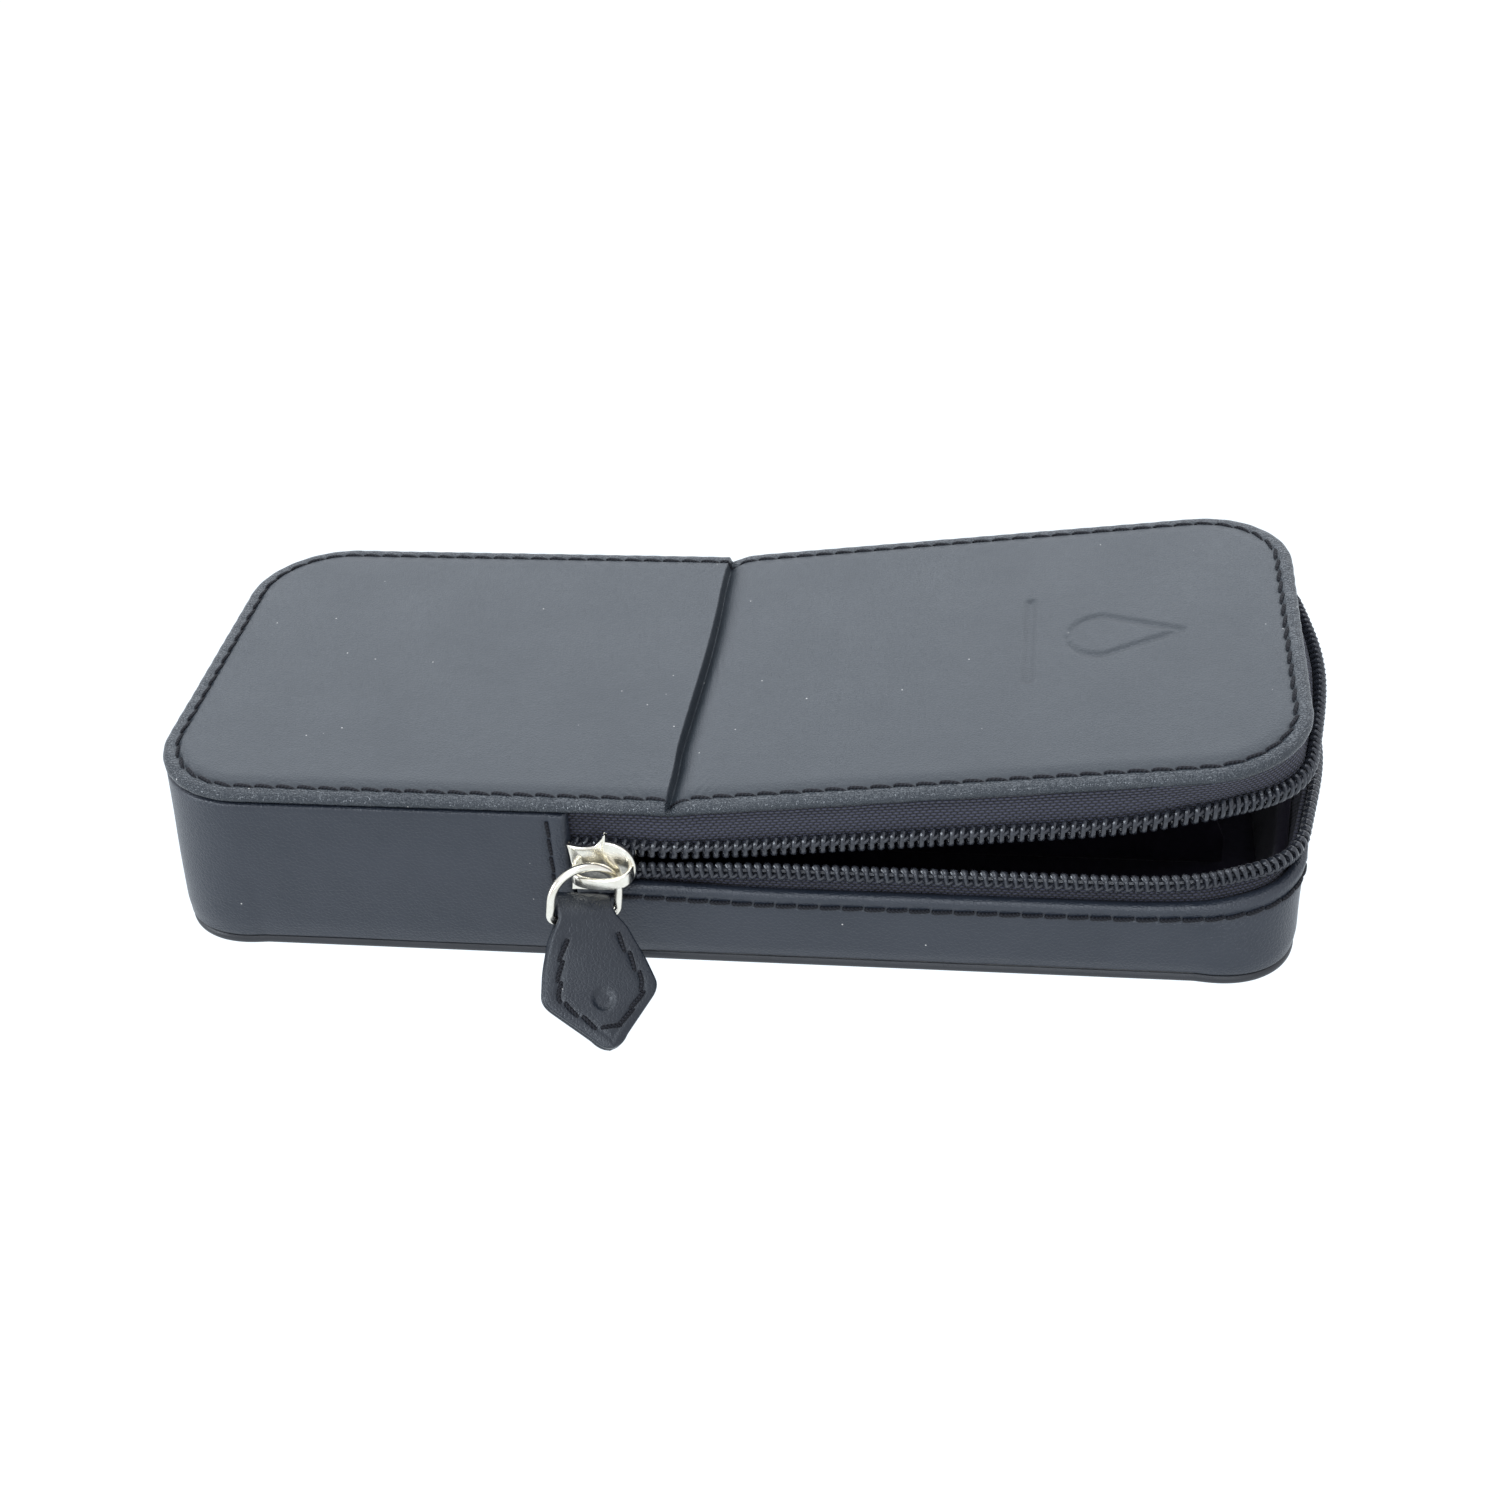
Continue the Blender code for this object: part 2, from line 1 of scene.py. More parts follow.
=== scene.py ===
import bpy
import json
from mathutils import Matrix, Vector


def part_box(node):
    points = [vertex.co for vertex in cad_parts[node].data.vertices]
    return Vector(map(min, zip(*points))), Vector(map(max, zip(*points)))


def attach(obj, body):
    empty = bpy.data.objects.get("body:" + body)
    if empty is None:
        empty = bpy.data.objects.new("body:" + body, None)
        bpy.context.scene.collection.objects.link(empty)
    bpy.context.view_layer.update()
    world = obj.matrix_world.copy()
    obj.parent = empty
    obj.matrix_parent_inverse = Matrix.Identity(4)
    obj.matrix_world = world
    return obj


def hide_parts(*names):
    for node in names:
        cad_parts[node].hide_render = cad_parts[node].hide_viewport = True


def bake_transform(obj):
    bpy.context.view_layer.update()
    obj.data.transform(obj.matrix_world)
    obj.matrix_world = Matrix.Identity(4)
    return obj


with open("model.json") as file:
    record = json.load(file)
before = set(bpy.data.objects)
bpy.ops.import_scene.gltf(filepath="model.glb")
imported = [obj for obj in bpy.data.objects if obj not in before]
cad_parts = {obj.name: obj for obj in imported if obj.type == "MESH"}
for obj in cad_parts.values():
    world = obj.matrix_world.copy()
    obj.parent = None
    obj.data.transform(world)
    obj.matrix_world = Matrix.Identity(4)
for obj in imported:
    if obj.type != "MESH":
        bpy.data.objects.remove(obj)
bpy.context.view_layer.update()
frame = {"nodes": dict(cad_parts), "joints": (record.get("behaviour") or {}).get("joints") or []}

# Looks of a zip-up leather fountain pen case. Shapes are worked out in millimetres, in the frame's axes:
# +Z up, front at -Y, lid end at +X. They are drawn with the lid shut and then bent to where it rests.

import json
import math

import bpy
import numpy as np
from mathutils import Matrix, Vector

TO_METRES = 0.001


def corners(node):
    """Lowest and highest corner of a CAD node, in mm."""
    return tuple(np.array(corner) * 1000 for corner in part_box(node))


def node_points(node):
    """A CAD node's vertices, in mm."""
    return np.array([vertex.co for vertex in frame["nodes"][node].data.vertices]) * 1000


def joint(name):
    return next(found for found in frame["joints"] if found["name"] == name)


# Sizes read from the frame
HALF_LENGTH, HALF_WIDTH, BASE_TOP = corners("base_leather")[1]
COVER_FOOT, TOP = corners("fixed_cover_leather")[0][2], corners("fixed_cover_leather")[1][2]
WALL_FOOT, WALL_HEAD = corners("wall_leather")[0][2], corners("wall_leather")[1][2]
SEAM_EDGE = corners("seam_strip_front")[1][0]
SEAM_STITCH = corners("seam_strip_front")[0][0]
BAND_START = corners("band_leather")[0][0]
BAND_TOP = corners("band_leather")[1][2]
TAPE_START = corners("zip_tape_lower")[0][0]
TAPE_INSET = HALF_LENGTH - corners("zip_tape_lower")[1][0]
TAPE_FOOT, LOWER_TAPE_HEAD = corners("zip_tape_lower")[0][2], corners("zip_tape_lower")[1][2]
COIL_INSET = TAPE_INSET - 1.1
HINGE = np.array(joint("lid_hinge")["pos_m"]) * 1000
LID_REST = -math.radians(joint("lid_hinge")["range_deg"][0])
BOARD_INSET = HALF_LENGTH - corners("wall_board_right")[1][0]
LINING_INSET = HALF_LENGTH - corners("wall_lining_right")[1][0]
SLIDER_LOW, SLIDER_HIGH = corners("slider_body")
ZIP_Z = (SLIDER_LOW[2] + SLIDER_HIGH[2]) / 2
SLIDER_X = (SLIDER_LOW[0] + SLIDER_HIGH[0]) / 2

# Sizes of the details
CORNER = 15.0
COVER_FLAT = 6.0  # the flat middle of the cover ends this far from its edge
COVER_ROWS = 129
CREASE_DEPTH = 2.0
WALL_INSET = 0.2  # how far the walls' faces stand in from the covers' edge
LEATHER = 1.9  # the walls' leather with the padding behind it
WALL_HEM = 1.6  # height of the bottom plate's edge, where the walls' leather ends
STITCH_PITCH = 3.2
STITCH_INSET = 2.3
STITCH_DIP = 0.3  # how far the cover sinks towards its stitching
BAND_STITCH = 2.2  # from the band's top edge down to its stitching
THREAD = 0.58
COVER_BEND = 2.5  # half the width over which the cover leather bends
TAPE_BEND = 4.5
COIL_PITCH = 1.4
COIL_WIRE = 0.35  # radius of the coil's filament
UPPER_COIL = (17.6, 20.7)  # heads and root of the lid's coil
LOWER_COIL = (15.4, 18.4)  # root and heads of the case's coil
OPEN_SIDE = (3.4, 1.3, 9)  # splay of the band's top: out at the lid end, in at the corners, reach


def smooth(value):
    """Eases from 0 to 1 as the value does, and holds outside."""
    value = np.clip(value, 0, 1)
    return value * value * (3 - 2 * value)


def bump(distance, width):
    """A soft hump, 1 at distance 0."""
    return np.exp(-((distance / width) ** 2))


def at_holes(distance, pitch, width):
    """A soft hump at each stitch hole along a seam."""
    return bump((distance / pitch - np.round(distance / pitch)) * pitch, width)


def ripple(x, y, size, seed):
    """Smooth unevenness between about -1 and 1, with hollows about size apart."""
    draw = np.random.default_rng(seed)
    total = 0
    for _ in range(7):
        angle, phase = draw.uniform(0, 2 * math.pi, 2)
        wave = 2 * math.pi / (size * draw.uniform(0.7, 1.8))
        total = total + np.sin((x * math.cos(angle) + y * math.sin(angle)) * wave + phase)
    return total / 4


class Shape:
    """Collects closed rings and caps into one mesh."""

    def __init__(self):
        self.points, self.surface, self.faces, self.count = [], [], [], 0

    def put(self, points, surface=None):
        points = np.asarray(points, float).reshape(-1, 3)
        self.points.append(points)
        if surface is None:
            surface = np.zeros_like(points)
        self.surface.append(np.asarray(surface, float).reshape(-1, 3))
        first = self.count
        self.count += len(points)
        return first

    def loft(self, grid, surface=None, closed=False, round_ring=True, caps=True):
        """grid[i][k] is point k of ring i. closed joins the last ring to the first."""
        rings, around = grid.shape[:2]
        first = self.put(grid, surface)
        ring, spot = np.meshgrid(np.arange(rings if closed else rings - 1),
                                 np.arange(around if round_ring else around - 1), indexing="ij")
        here, there = ring * around, (ring + 1) % rings * around
        beside = (spot + 1) % around
        quads = np.stack([here + spot, there + spot, there + beside, here + beside], -1)
        self.faces.extend((quads.reshape(-1, 4) + first).tolist())
        if caps and not closed:
            self.faces.append([first + spot for spot in range(around)])
            last = first + (rings - 1) * around
            self.faces.append([last + spot for spot in reversed(range(around))])

    def make(self, name, look, sharp_deg=40.0):
        points = np.concatenate(self.points)
        mesh = bpy.data.meshes.new(name)
        mesh.from_pydata((points * TO_METRES).tolist(), [], self.faces)
        mesh.update()
        mesh.calc_loop_triangles()
        corner_ids = np.empty(len(mesh.loop_triangles) * 3, np.int32)
        mesh.loop_triangles.foreach_get("vertices", corner_ids)
        if np.linalg.det(points[corner_ids.reshape(-1, 3)]).sum() < 0:
            mesh.flip_normals()
        for label, values in (("rest", points), ("surface", np.concatenate(self.surface))):
            layer = mesh.attributes.new(label, "FLOAT_VECTOR", "POINT")
            layer.data.foreach_set("vector", values.astype(np.float32).ravel())
        mesh.shade_smooth()
        mesh.set_sharp_from_angle(angle=math.radians(sharp_deg))
        mesh.materials.append(look)
        obj = bpy.data.objects.new(name, mesh)
        bpy.context.scene.collection.objects.link(obj)
        return obj

    def bend_open(self, half):
        """Turns what is drawn so far as the lid rests, bending within half of the hinge."""
        self.points = [open_lid(points, half) for points in self.points]


def turn_lid(points, angle):
    across, rise = points[..., 0] - HINGE[0], points[..., 2] - HINGE[2]
    turned = points.copy()
    turned[..., 0] = HINGE[0] + across * np.cos(angle) - rise * np.sin(angle)
    turned[..., 2] = HINGE[2] + across * np.sin(angle) + rise * np.cos(angle)
    return turned


def open_lid(points, half):
    """Points bent round the hinge, all of the turn taken up within half of it."""
    return turn_lid(points, LID_REST * smooth((points[..., 0] - HINGE[0] + half) / (2 * half)))


def finish_piece(obj, body, slot, *nodes):
    """A piece that moves with one body."""
    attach(obj, body)
    if nodes:
        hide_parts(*nodes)
    return obj


def finish_hinged(obj, half, slot, *nodes):
    """A piece already bent where the lid folds: bakes its placement into the mesh and hides the CAD nodes it
    replaces.
    """
    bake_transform(obj)
    if nodes:
        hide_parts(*nodes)


def side_path(x_front, x_back, spacing, left=False):
    """Places on the case's outline from the front, round its right end, to the back, with their outward
    normals and distances. left goes from the back, round the left end, to the front instead."""
    if left:
        x_front, x_back = -x_back, -x_front
    reach, side = HALF_LENGTH - CORNER, HALF_WIDTH - CORNER
    points, normals = [], []

    def straight(start, end, normal):
        start, end = np.array(start, float), np.array(end, float)
        count = max(1, math.ceil(np.linalg.norm(end - start) / spacing))
        for step in range(count):
            points.append(start + (end - start) * step / count)
            normals.append(normal)

    def corner(centre, first_deg):
        count = math.ceil(CORNER * math.pi / 2 / spacing)
        for step in range(count):
            angle = math.radians(first_deg + 90 * step / count)
            normal = (math.cos(angle), math.sin(angle))
            points.append((centre[0] + CORNER * normal[0], centre[1] + CORNER * normal[1]))
            normals.append(normal)

    straight((x_front, -HALF_WIDTH), (reach, -HALF_WIDTH), (0, -1))
    corner((reach, -side), -90)
    straight((HALF_LENGTH, -side), (HALF_LENGTH, side), (1, 0))
    corner((reach, side), 0)
    straight((reach, HALF_WIDTH), (x_back, HALF_WIDTH), (0, 1))
    points.append((x_back, HALF_WIDTH))
    normals.append((0, 1))
    turn = -1 if left else 1
    points, normals = turn * np.array(points, float), turn * np.array(normals, float)
    lengths = np.linalg.norm(np.diff(points, axis=0), axis=1)
    return points, normals, np.concatenate([[0], np.cumsum(lengths)])


def closed_path(spacing):
    right, left = side_path(0, 0, spacing), side_path(0, 0, spacing, left=True)
    points = np.concatenate([right[0][:-1], left[0][:-1]])
    normals = np.concatenate([right[1][:-1], left[1][:-1]])
    lengths = np.linalg.norm(np.diff(points, axis=0, append=points[:1]), axis=1)
    return points, normals, np.concatenate([[0], np.cumsum(lengths)[:-1]])


def stand(path, inset, z):
    """Points at these insets and heights: one row for each place on the path, one column for each inset."""
    points, normals, _ = path
    inset, z = np.broadcast_arrays(np.asarray(inset, float), np.asarray(z, float))
    inset = np.broadcast_to(inset, (len(points), inset.shape[-1]))
    z = np.broadcast_to(z, inset.shape)
    flat = points[:, None, :] - normals[:, None, :] * inset[..., None]
    return np.concatenate([flat, z[..., None]], -1)


def unrolled(path, z):
    """Coordinates that run along a strip and up it, for its material."""
    return np.stack([np.broadcast_to(path[2][:, None], z.shape), z, 0 * z], -1)


def foot_corner(path):
    """How far the bottom's tighter corners stand out from the covers' rounder ones."""
    return 2.0 * np.abs(2 * path[1][:, 0] * path[1][:, 1])[:, None] ** 1.3


def splay(path, out, pull_in, reach=11):
    """How far the open zip's free edge leans out at the lid end's middle, while its corners pull in.
    The reach is how far each corner's pull is felt along the path, clear of the slider's travel."""
    from_middle = (path[2] - path[2][-1] / 2)[:, None]
    corners_in = bump(from_middle + 28 + reach, reach) + 0.5 * bump(from_middle - 28 - reach, reach)
    return out * bump(from_middle - 2, 22) - pull_in * corners_in


def open_side(path, z, most=1.0):
    """How far the walls under the open zip splay at a height, growing from the foot to the band's top."""
    share = np.clip((z - WALL_FOOT) / (BAND_TOP - WALL_FOOT), 0, most)
    return splay(path, *OPEN_SIDE) * share**1.3


def on_path(path, distance):
    """The place and normal at a distance along a path."""
    points, normals, lengths = path
    place = np.array([np.interp(distance, lengths, points[:, axis]) for axis in (0, 1)])
    normal = np.array([np.interp(distance, lengths, normals[:, axis]) for axis in (0, 1)])
    return place, normal / np.linalg.norm(normal)


def tube(shape, path, radius, out, sides=6, closed=False, flat=1.0):
    """A tube round a path. out is a direction roughly square to it; flat widens it across out."""
    path = np.asarray(path, float)
    if closed:
        ahead = np.roll(path, -1, 0) - np.roll(path, 1, 0)
    else:
        ahead = np.gradient(path, axis=0)
    ahead /= np.linalg.norm(ahead, axis=1)[:, None]
    out = np.broadcast_to(np.asarray(out, float), path.shape)
    beside = np.cross(ahead, out)
    beside /= np.linalg.norm(beside, axis=1)[:, None]
    out = np.cross(beside, ahead)
    radius = np.broadcast_to(radius, (len(path),))[:, None, None]
    flat = np.broadcast_to(flat, (len(path),))[:, None, None]
    angle = (2 * math.pi * np.arange(sides) / sides)[None, :, None]
    ring = np.cos(angle) * out[:, None, :] + flat * np.sin(angle) * beside[:, None, :]
    grid = path[:, None, :] + radius * ring
    run = np.concatenate([[0], np.cumsum(np.linalg.norm(np.diff(path, axis=0), axis=1))])
    surface = np.zeros(grid.shape)
    surface[..., 0] = run[:, None]
    surface[..., 1] = angle[..., 0]
    shape.loft(grid, surface, closed=closed)


# ---- Materials ----


class Look:
    """A material being built, with short ways to add and join its nodes."""

    def __init__(self, name, colour, roughness, metallic=0.0, specular=0.5):
        self.material = bpy.data.materials.new(name)
        self.material.use_nodes = True
        self.tree = self.material.node_tree
        self.shader = self.tree.nodes["Principled BSDF"]
        self.shader.inputs["Base Color"].default_value = (*colour, 1)
        self.shader.inputs["Roughness"].default_value = roughness
        self.shader.inputs["Metallic"].default_value = metallic
        self.shader.inputs["Specular IOR Level"].default_value = specular
        self.material.diffuse_color = (*colour, 1)

    def node(self, kind, inputs=(), **settings):
        made = self.tree.nodes.new(kind)
        for key, value in settings.items():
            setattr(made, key, value)
        for key, value in dict(inputs).items():
            if isinstance(value, bpy.types.NodeSocket):
                self.tree.links.new(value, made.inputs[key])
            else:
                made.inputs[key].default_value = value
        return made

    def where(self, attribute="rest"):
        return self.node("ShaderNodeAttribute", attribute_name=attribute).outputs["Vector"]

    def stretched(self, vector, scale):
        return self.node("ShaderNodeVectorMath", {0: vector, 1: scale}, operation="MULTIPLY").outputs[0]

    def noise(self, vector, scale, detail=3.0, rough=0.55):
        made = self.node("ShaderNodeTexNoise", {"Vector": vector, "Scale": scale, "Detail": detail,
                                                "Roughness": rough})
        return made.outputs["Fac"]

    def ramp(self, value, low=0.3, high=0.7, to_low=0.0, to_high=1.0):
        made = self.node("ShaderNodeMapRange", {0: value, 1: low, 2: high, 3: to_low, 4: to_high})
        return made.outputs[0]

    def maths(self, operation, first, second=0.0):
        return self.node("ShaderNodeMath", {0: first, 1: second}, operation=operation).outputs[0]

    def times(self, first, second):
        return self.maths("MULTIPLY", first, second)

    def parts(self, vector):
        return self.node("ShaderNodeSeparateXYZ", {0: vector}).outputs

    def mix(self, amount, first, second):
        made = self.node("ShaderNodeMix", {0: amount}, data_type="RGBA")
        for index, colour in ((6, first), (7, second)):
            if isinstance(colour, bpy.types.NodeSocket):
                self.tree.links.new(colour, made.inputs[index])
            else:
                made.inputs[index].default_value = (*colour, 1)
        return made.outputs[2]

    def colour(self, socket):
        self.tree.links.new(socket, self.shader.inputs["Base Color"])

    def roughness(self, socket):
        self.tree.links.new(socket, self.shader.inputs["Roughness"])

    def relief(self, heights):
        """Bumps, each (height, depth in mm)."""
        normal = None
        for height, depth in heights:
            inputs = {"Height": height, "Distance": depth * TO_METRES, "Strength": 1.0}
            if normal:
                inputs["Normal"] = normal
            normal = self.node("ShaderNodeBump", inputs).outputs["Normal"]
        self.tree.links.new(normal, self.shader.inputs["Normal"])


def leather(name, dark, light, roughness, grain=0.014, pores=1.9, rim=None):
    """Smooth black leather: fine pebbles, faint cloudiness, stray dust. rim is the roughness of a rolled
    edge, where the piece's surface attribute marks one."""
    look = Look(name, dark, roughness)
    spot = look.where()
    cloud = look.noise(spot, 0.09, 4.0, 0.6)
    fine = look.noise(spot, 7.0, 3.0, 0.7)
    cells = look.node("ShaderNodeTexVoronoi", {"Vector": spot, "Scale": pores, "Randomness": 1.0},
                      feature="DISTANCE_TO_EDGE").outputs["Distance"]
    pebbles = look.ramp(cells, 0.0, 0.22)
    dust = look.node("ShaderNodeTexVoronoi", {"Vector": spot, "Scale": 0.42, "Randomness": 1.0})
    speck = look.ramp(dust.outputs["Distance"], 0.035, 0.06, 1.0, 0.0)
    lot = look.node("ShaderNodeSeparateColor", {0: dust.outputs["Color"]}).outputs[0]
    rare = look.maths("GREATER_THAN", lot, 0.86)
    tone = look.mix(look.ramp(cloud), dark, light)
    dusty = look.times(look.times(speck, rare), 0.75)
    look.colour(look.mix(dusty, tone, (0.62, 0.6, 0.57)))
    uneven = look.maths("ADD", look.ramp(cloud, 0.25, 0.75, roughness - 0.05, roughness + 0.05),
                        look.ramp(fine, 0.3, 0.7, -0.03, 0.03))
    if rim is not None:
        worn = look.parts(look.where("surface"))[2]
        pebbles = look.times(pebbles, look.ramp(worn, 0.0, 1.0, 1.0, 3.0))
        uneven = look.node("ShaderNodeMix", {0: worn, 2: uneven, 3: rim}).outputs[0]
    look.roughness(uneven)
    look.relief([(look.noise(spot, 0.5, 3.0), 0.05), (pebbles, grain), (fine, grain * 0.5)])
    return look.material


def weave(name, dark, light):
    """Narrow woven tape: short dashes in staggered rows along it, with painted light on each thread's crown
    and painted shade in the gaps.
    """
    look = Look(name, dark, 0.82)
    row_height, dash_length = 0.5, 0.95
    parts = look.parts(look.where("surface"))
    row = look.times(parts[1], 1 / row_height)
    shift = look.times(look.maths("FLOOR", row), 0.5)
    dash = look.maths("FRACT", look.maths("ADD", look.times(parts[0], 1 / dash_length), shift))
    hump = look.maths("SINE", look.times(look.maths("FRACT", row), math.pi))
    length = look.maths("POWER", look.maths("SINE", look.times(dash, math.pi)), 0.6)
    thread = look.times(hump, length)
    fuzz = look.noise(look.where(), 3.5, 4.0, 0.7)
    # painted light and shade: the colour runs from near black in the gaps to light on the threads' crowns
    lit = look.times(look.ramp(thread, 0.25, 0.95), look.ramp(fuzz, 0.3, 0.7, 0.6, 1.1))
    look.colour(look.mix(lit, dark, light))
    look.relief([(thread, 0.3), (fuzz, 0.06)])
    look.shader.inputs["Sheen Weight"].default_value = 0.08
    return look.material


def nylon(name, dark, light):
    """Shiny moulded filament."""
    look = Look(name, dark, 0.24)
    fuzz = look.noise(look.where(), 2.2, 3.0)
    look.colour(look.mix(look.ramp(fuzz, 0.35, 0.7), dark, light))
    look.roughness(look.ramp(fuzz, 0.3, 0.7, 0.18, 0.32))
    look.relief([(fuzz, 0.03)])
    return look.material


def thread_look(name, dark, light):
    """Waxed sewing thread with a slanting twist."""
    look = Look(name, dark, 0.6, specular=0.25)
    parts = look.parts(look.where("surface"))
    twist = look.maths("SINE", look.maths("ADD", look.times(parts[0], 11.0), parts[1]))
    fuzz = look.noise(look.where(), 5.0, 3.0)
    look.colour(look.mix(look.ramp(twist, -0.4, 1.0), dark, light))
    look.roughness(look.ramp(fuzz, 0.3, 0.7, 0.5, 0.75))
    look.relief([(twist, 0.05), (fuzz, 0.02)])
    return look.material


def nickel_look(name):
    """Polished plating with faint tumbling marks."""
    look = Look(name, (0.86, 0.83, 0.76), 0.16, 1.0)
    spot = look.where()
    cloud = look.noise(spot, 0.45, 4.0, 0.65)
    fine = look.noise(look.stretched(spot, (1.0, 1.0, 4.0)), 5.0, 4.0, 0.7)
    look.colour(look.mix(look.ramp(cloud, 0.3, 0.75), (0.74, 0.70, 0.60), (0.87, 0.84, 0.76)))
    look.roughness(look.maths("ADD", look.ramp(cloud, 0.3, 0.7, 0.12, 0.24),
                              look.ramp(fine, 0.3, 0.7, -0.03, 0.05)))
    look.relief([(cloud, 0.03), (fine, 0.006)])
    return look.material


def suede(name, dark, light):
    """Dull lining with a brushed nap."""
    look = Look(name, dark, 0.95, specular=0.1)
    spot = look.where()
    nap = look.noise(spot, 4.5, 5.0, 0.75)
    cloud = look.noise(spot, 0.13, 4.0, 0.65)
    lit = look.times(look.ramp(cloud), look.ramp(nap, 0.3, 0.7, 0.5, 1.0))
    look.colour(look.mix(lit, dark, light))
    look.relief([(nap, 0.09), (look.noise(spot, 0.6, 3.0), 0.12)])
    look.shader.inputs["Sheen Weight"].default_value = 0.06
    look.shader.inputs["Sheen Roughness"].default_value = 0.4
    return look.material


def board_look(name):
    """Grey pulp board."""
    look = Look(name, (0.16, 0.15, 0.14), 0.9)
    position = look.node("ShaderNodeTexCoord").outputs["Object"]
    pulp = look.noise(position, 900.0, 5.0, 0.7)
    look.colour(look.mix(look.ramp(pulp), (0.11, 0.105, 0.1), (0.2, 0.19, 0.175)))
    look.relief([(pulp, 0.04)])
    return look.material


def lit_white(name):
    """A light table's even white, which no shadow shows on."""
    look = Look(name, (0.0, 0.0, 0.0), 1.0, specular=0.0)
    look.shader.inputs["Emission Color"].default_value = (0.93, 1.0, 1.07, 1)
    look.shader.inputs["Emission Strength"].default_value = 1.15
    return look.material


COVER_LEATHER = leather("cover_leather", (0.013, 0.018, 0.024), (0.019, 0.024, 0.030), 0.42, 0.022,
                        rim=0.24)
WALL_LOOK = leather("wall_leather_look", (0.011, 0.015, 0.023), (0.017, 0.021, 0.030), 0.36, 0.035, 1.6)
TAB_LOOK = leather("tab_leather_look", (0.007, 0.010, 0.016), (0.012, 0.016, 0.022), 0.34, 0.02, 1.7)
EDGE_PAINT = leather("edge_paint", (0.008, 0.009, 0.012), (0.014, 0.015, 0.019), 0.45, 0.01, 2.4)
TAPE_LOOK = weave("tape_weave", (0.001, 0.001, 0.004), (0.06, 0.063, 0.105))
COIL_LOOK = nylon("coil_nylon", (0.013, 0.014, 0.019), (0.028, 0.031, 0.038))
BLACK_THREAD = thread_look("black_thread", (0.002, 0.002, 0.004), (0.012, 0.013, 0.018))
NICKEL = nickel_look("nickel_plate")
# near-black lining colour: dark suede, made darker still as painted shade for the dim inside of the case
SUEDE_AND_PAINTED_SHADE = suede("dark_suede", (0.004, 0.003, 0.007), (0.012, 0.010, 0.018))
BOARD = board_look("grey_board")


# ---- Cover: one skin over both halves ----


def crease(x, y):
    """How deep the fold line is at a place: steep on the fixed side, easing back up on the lid."""
    across = x - HINGE[0]
    edge = np.abs(y) / HALF_WIDTH
    depth = CREASE_DEPTH * (1 - 0.25 * edge**3)
    drop = smooth((across + 0.35) / 0.5)
    back = np.clip(1 - (across - 0.15) / (5.4 + 0.8 * np.sin(y / 14)), 0, 1) ** 3
    return depth * drop * np.where(across < 0.15, 1, back)


def wrinkles(x, y):
    """Fine slanting creases that gather beside the fold near the front and back stitching."""
    total = 0
    for centre, slant, size, strength in (
        ((-12.0, -29.5), 0.9, 3.4, 0.07), ((-0.5, -31.0), -0.6, 3.0, 0.06),
        ((-9.5, 30.0), -0.8, 3.2, 0.05), ((-1.0, 30.5), 0.7, 2.6, 0.045), ((-2.0, 0.0), 0.1, 5.0, 0.025),
    ):
        dx, dy = x - centre[0], y - centre[1]
        ahead = dx * math.cos(slant) + dy * math.sin(slant)
        wave = np.sin(ahead * 2 * math.pi / 1.15 + 1.3 * np.sin(dy / 1.7))
        total = total + strength * wave * bump(np.hypot(dx, 1.3 * dy), size)
    return total


def mark(x, y):
    """A plain drop and a bar pressed into the lid, as depth."""
    drop_x, bar_x, middle_y = 55.5, 44.5, 1.5
    radius, point = 5.4, 11.5
    dx, dy = x - drop_x, y - middle_y
    taper = np.clip(dx / point, 0, 1)
    half = np.where(dx < 0, np.sqrt(np.clip(radius**2 - dx**2, 0, None)),
                    radius * (1 - taper) ** 0.8 * (1 - 0.25 * taper))
    line = bump(half - np.abs(dy) - 0.1, 0.55) * (np.abs(dx - 3.0) < 8.8)
    bar = smooth((0.9 - np.abs(x - bar_x)) / 0.45) * smooth((11.5 - np.abs(dy)) / 0.5)
    return 0.32 * np.maximum(line, bar)


def cover_columns():
    """x of each column, its half depth, and the outline's point and normal at its front."""
    reach, inner = HALF_LENGTH - CORNER, CORNER - COVER_FLAT
    fine = np.concatenate([
        np.arange(-12.0, -6.5, 0.25), np.arange(-6.5, -4.0, 0.1), np.arange(-4.0, 1.6, 0.25),
    ])
    coarse = 0.45
    straight = np.concatenate([
        np.linspace(-reach, -12.0, round((reach - 12) / coarse), endpoint=False), fine,
        np.linspace(fine[-1] + 0.25, reach, round((reach - 1.7) / coarse)),
    ])
    angles = np.radians(np.arange(1, 46) * 2.0)
    rows = []
    for angle in angles[::-1]:
        rows.append((-reach - inner * math.sin(angle), HALF_WIDTH - CORNER + inner * math.cos(angle),
                     -reach - CORNER * math.sin(angle), -math.sin(angle), -math.cos(angle)))
    for x in straight:
        rows.append((x, HALF_WIDTH - COVER_FLAT, x, 0.0, -1.0))
    for angle in angles:
        rows.append((reach + inner * math.sin(angle), HALF_WIDTH - CORNER + inner * math.cos(angle),
                     reach + CORNER * math.sin(angle), math.sin(angle), -math.cos(angle)))
    return np.array(rows)


def cover_profile():
    """(inset, height) of the cover's edge: stitch groove, roll, and the leather turned under."""
    insets = [5.4, 4.6, 4.0, 3.5, 3.15, 2.9, 2.7, 2.55, 2.42, 2.3, 2.18, 2.05, 1.9, 1.75, 1.6, 1.48]
    crown, thick = 1.35, (TOP - COVER_FOOT) / 2
    profile = [(inset, -STITCH_DIP * smooth((4.6 - inset) / 2.3)) for inset in insets]
    for step in range(13):
        angle = math.radians(90 - 15 * step)
        height = (thick - STITCH_DIP / 2) * (math.sin(angle) - 1) - STITCH_DIP
        profile.append((crown - crown * math.cos(angle), height))
    profile.append((2.2, -2 * thick + 0.08))
    return np.array(profile)


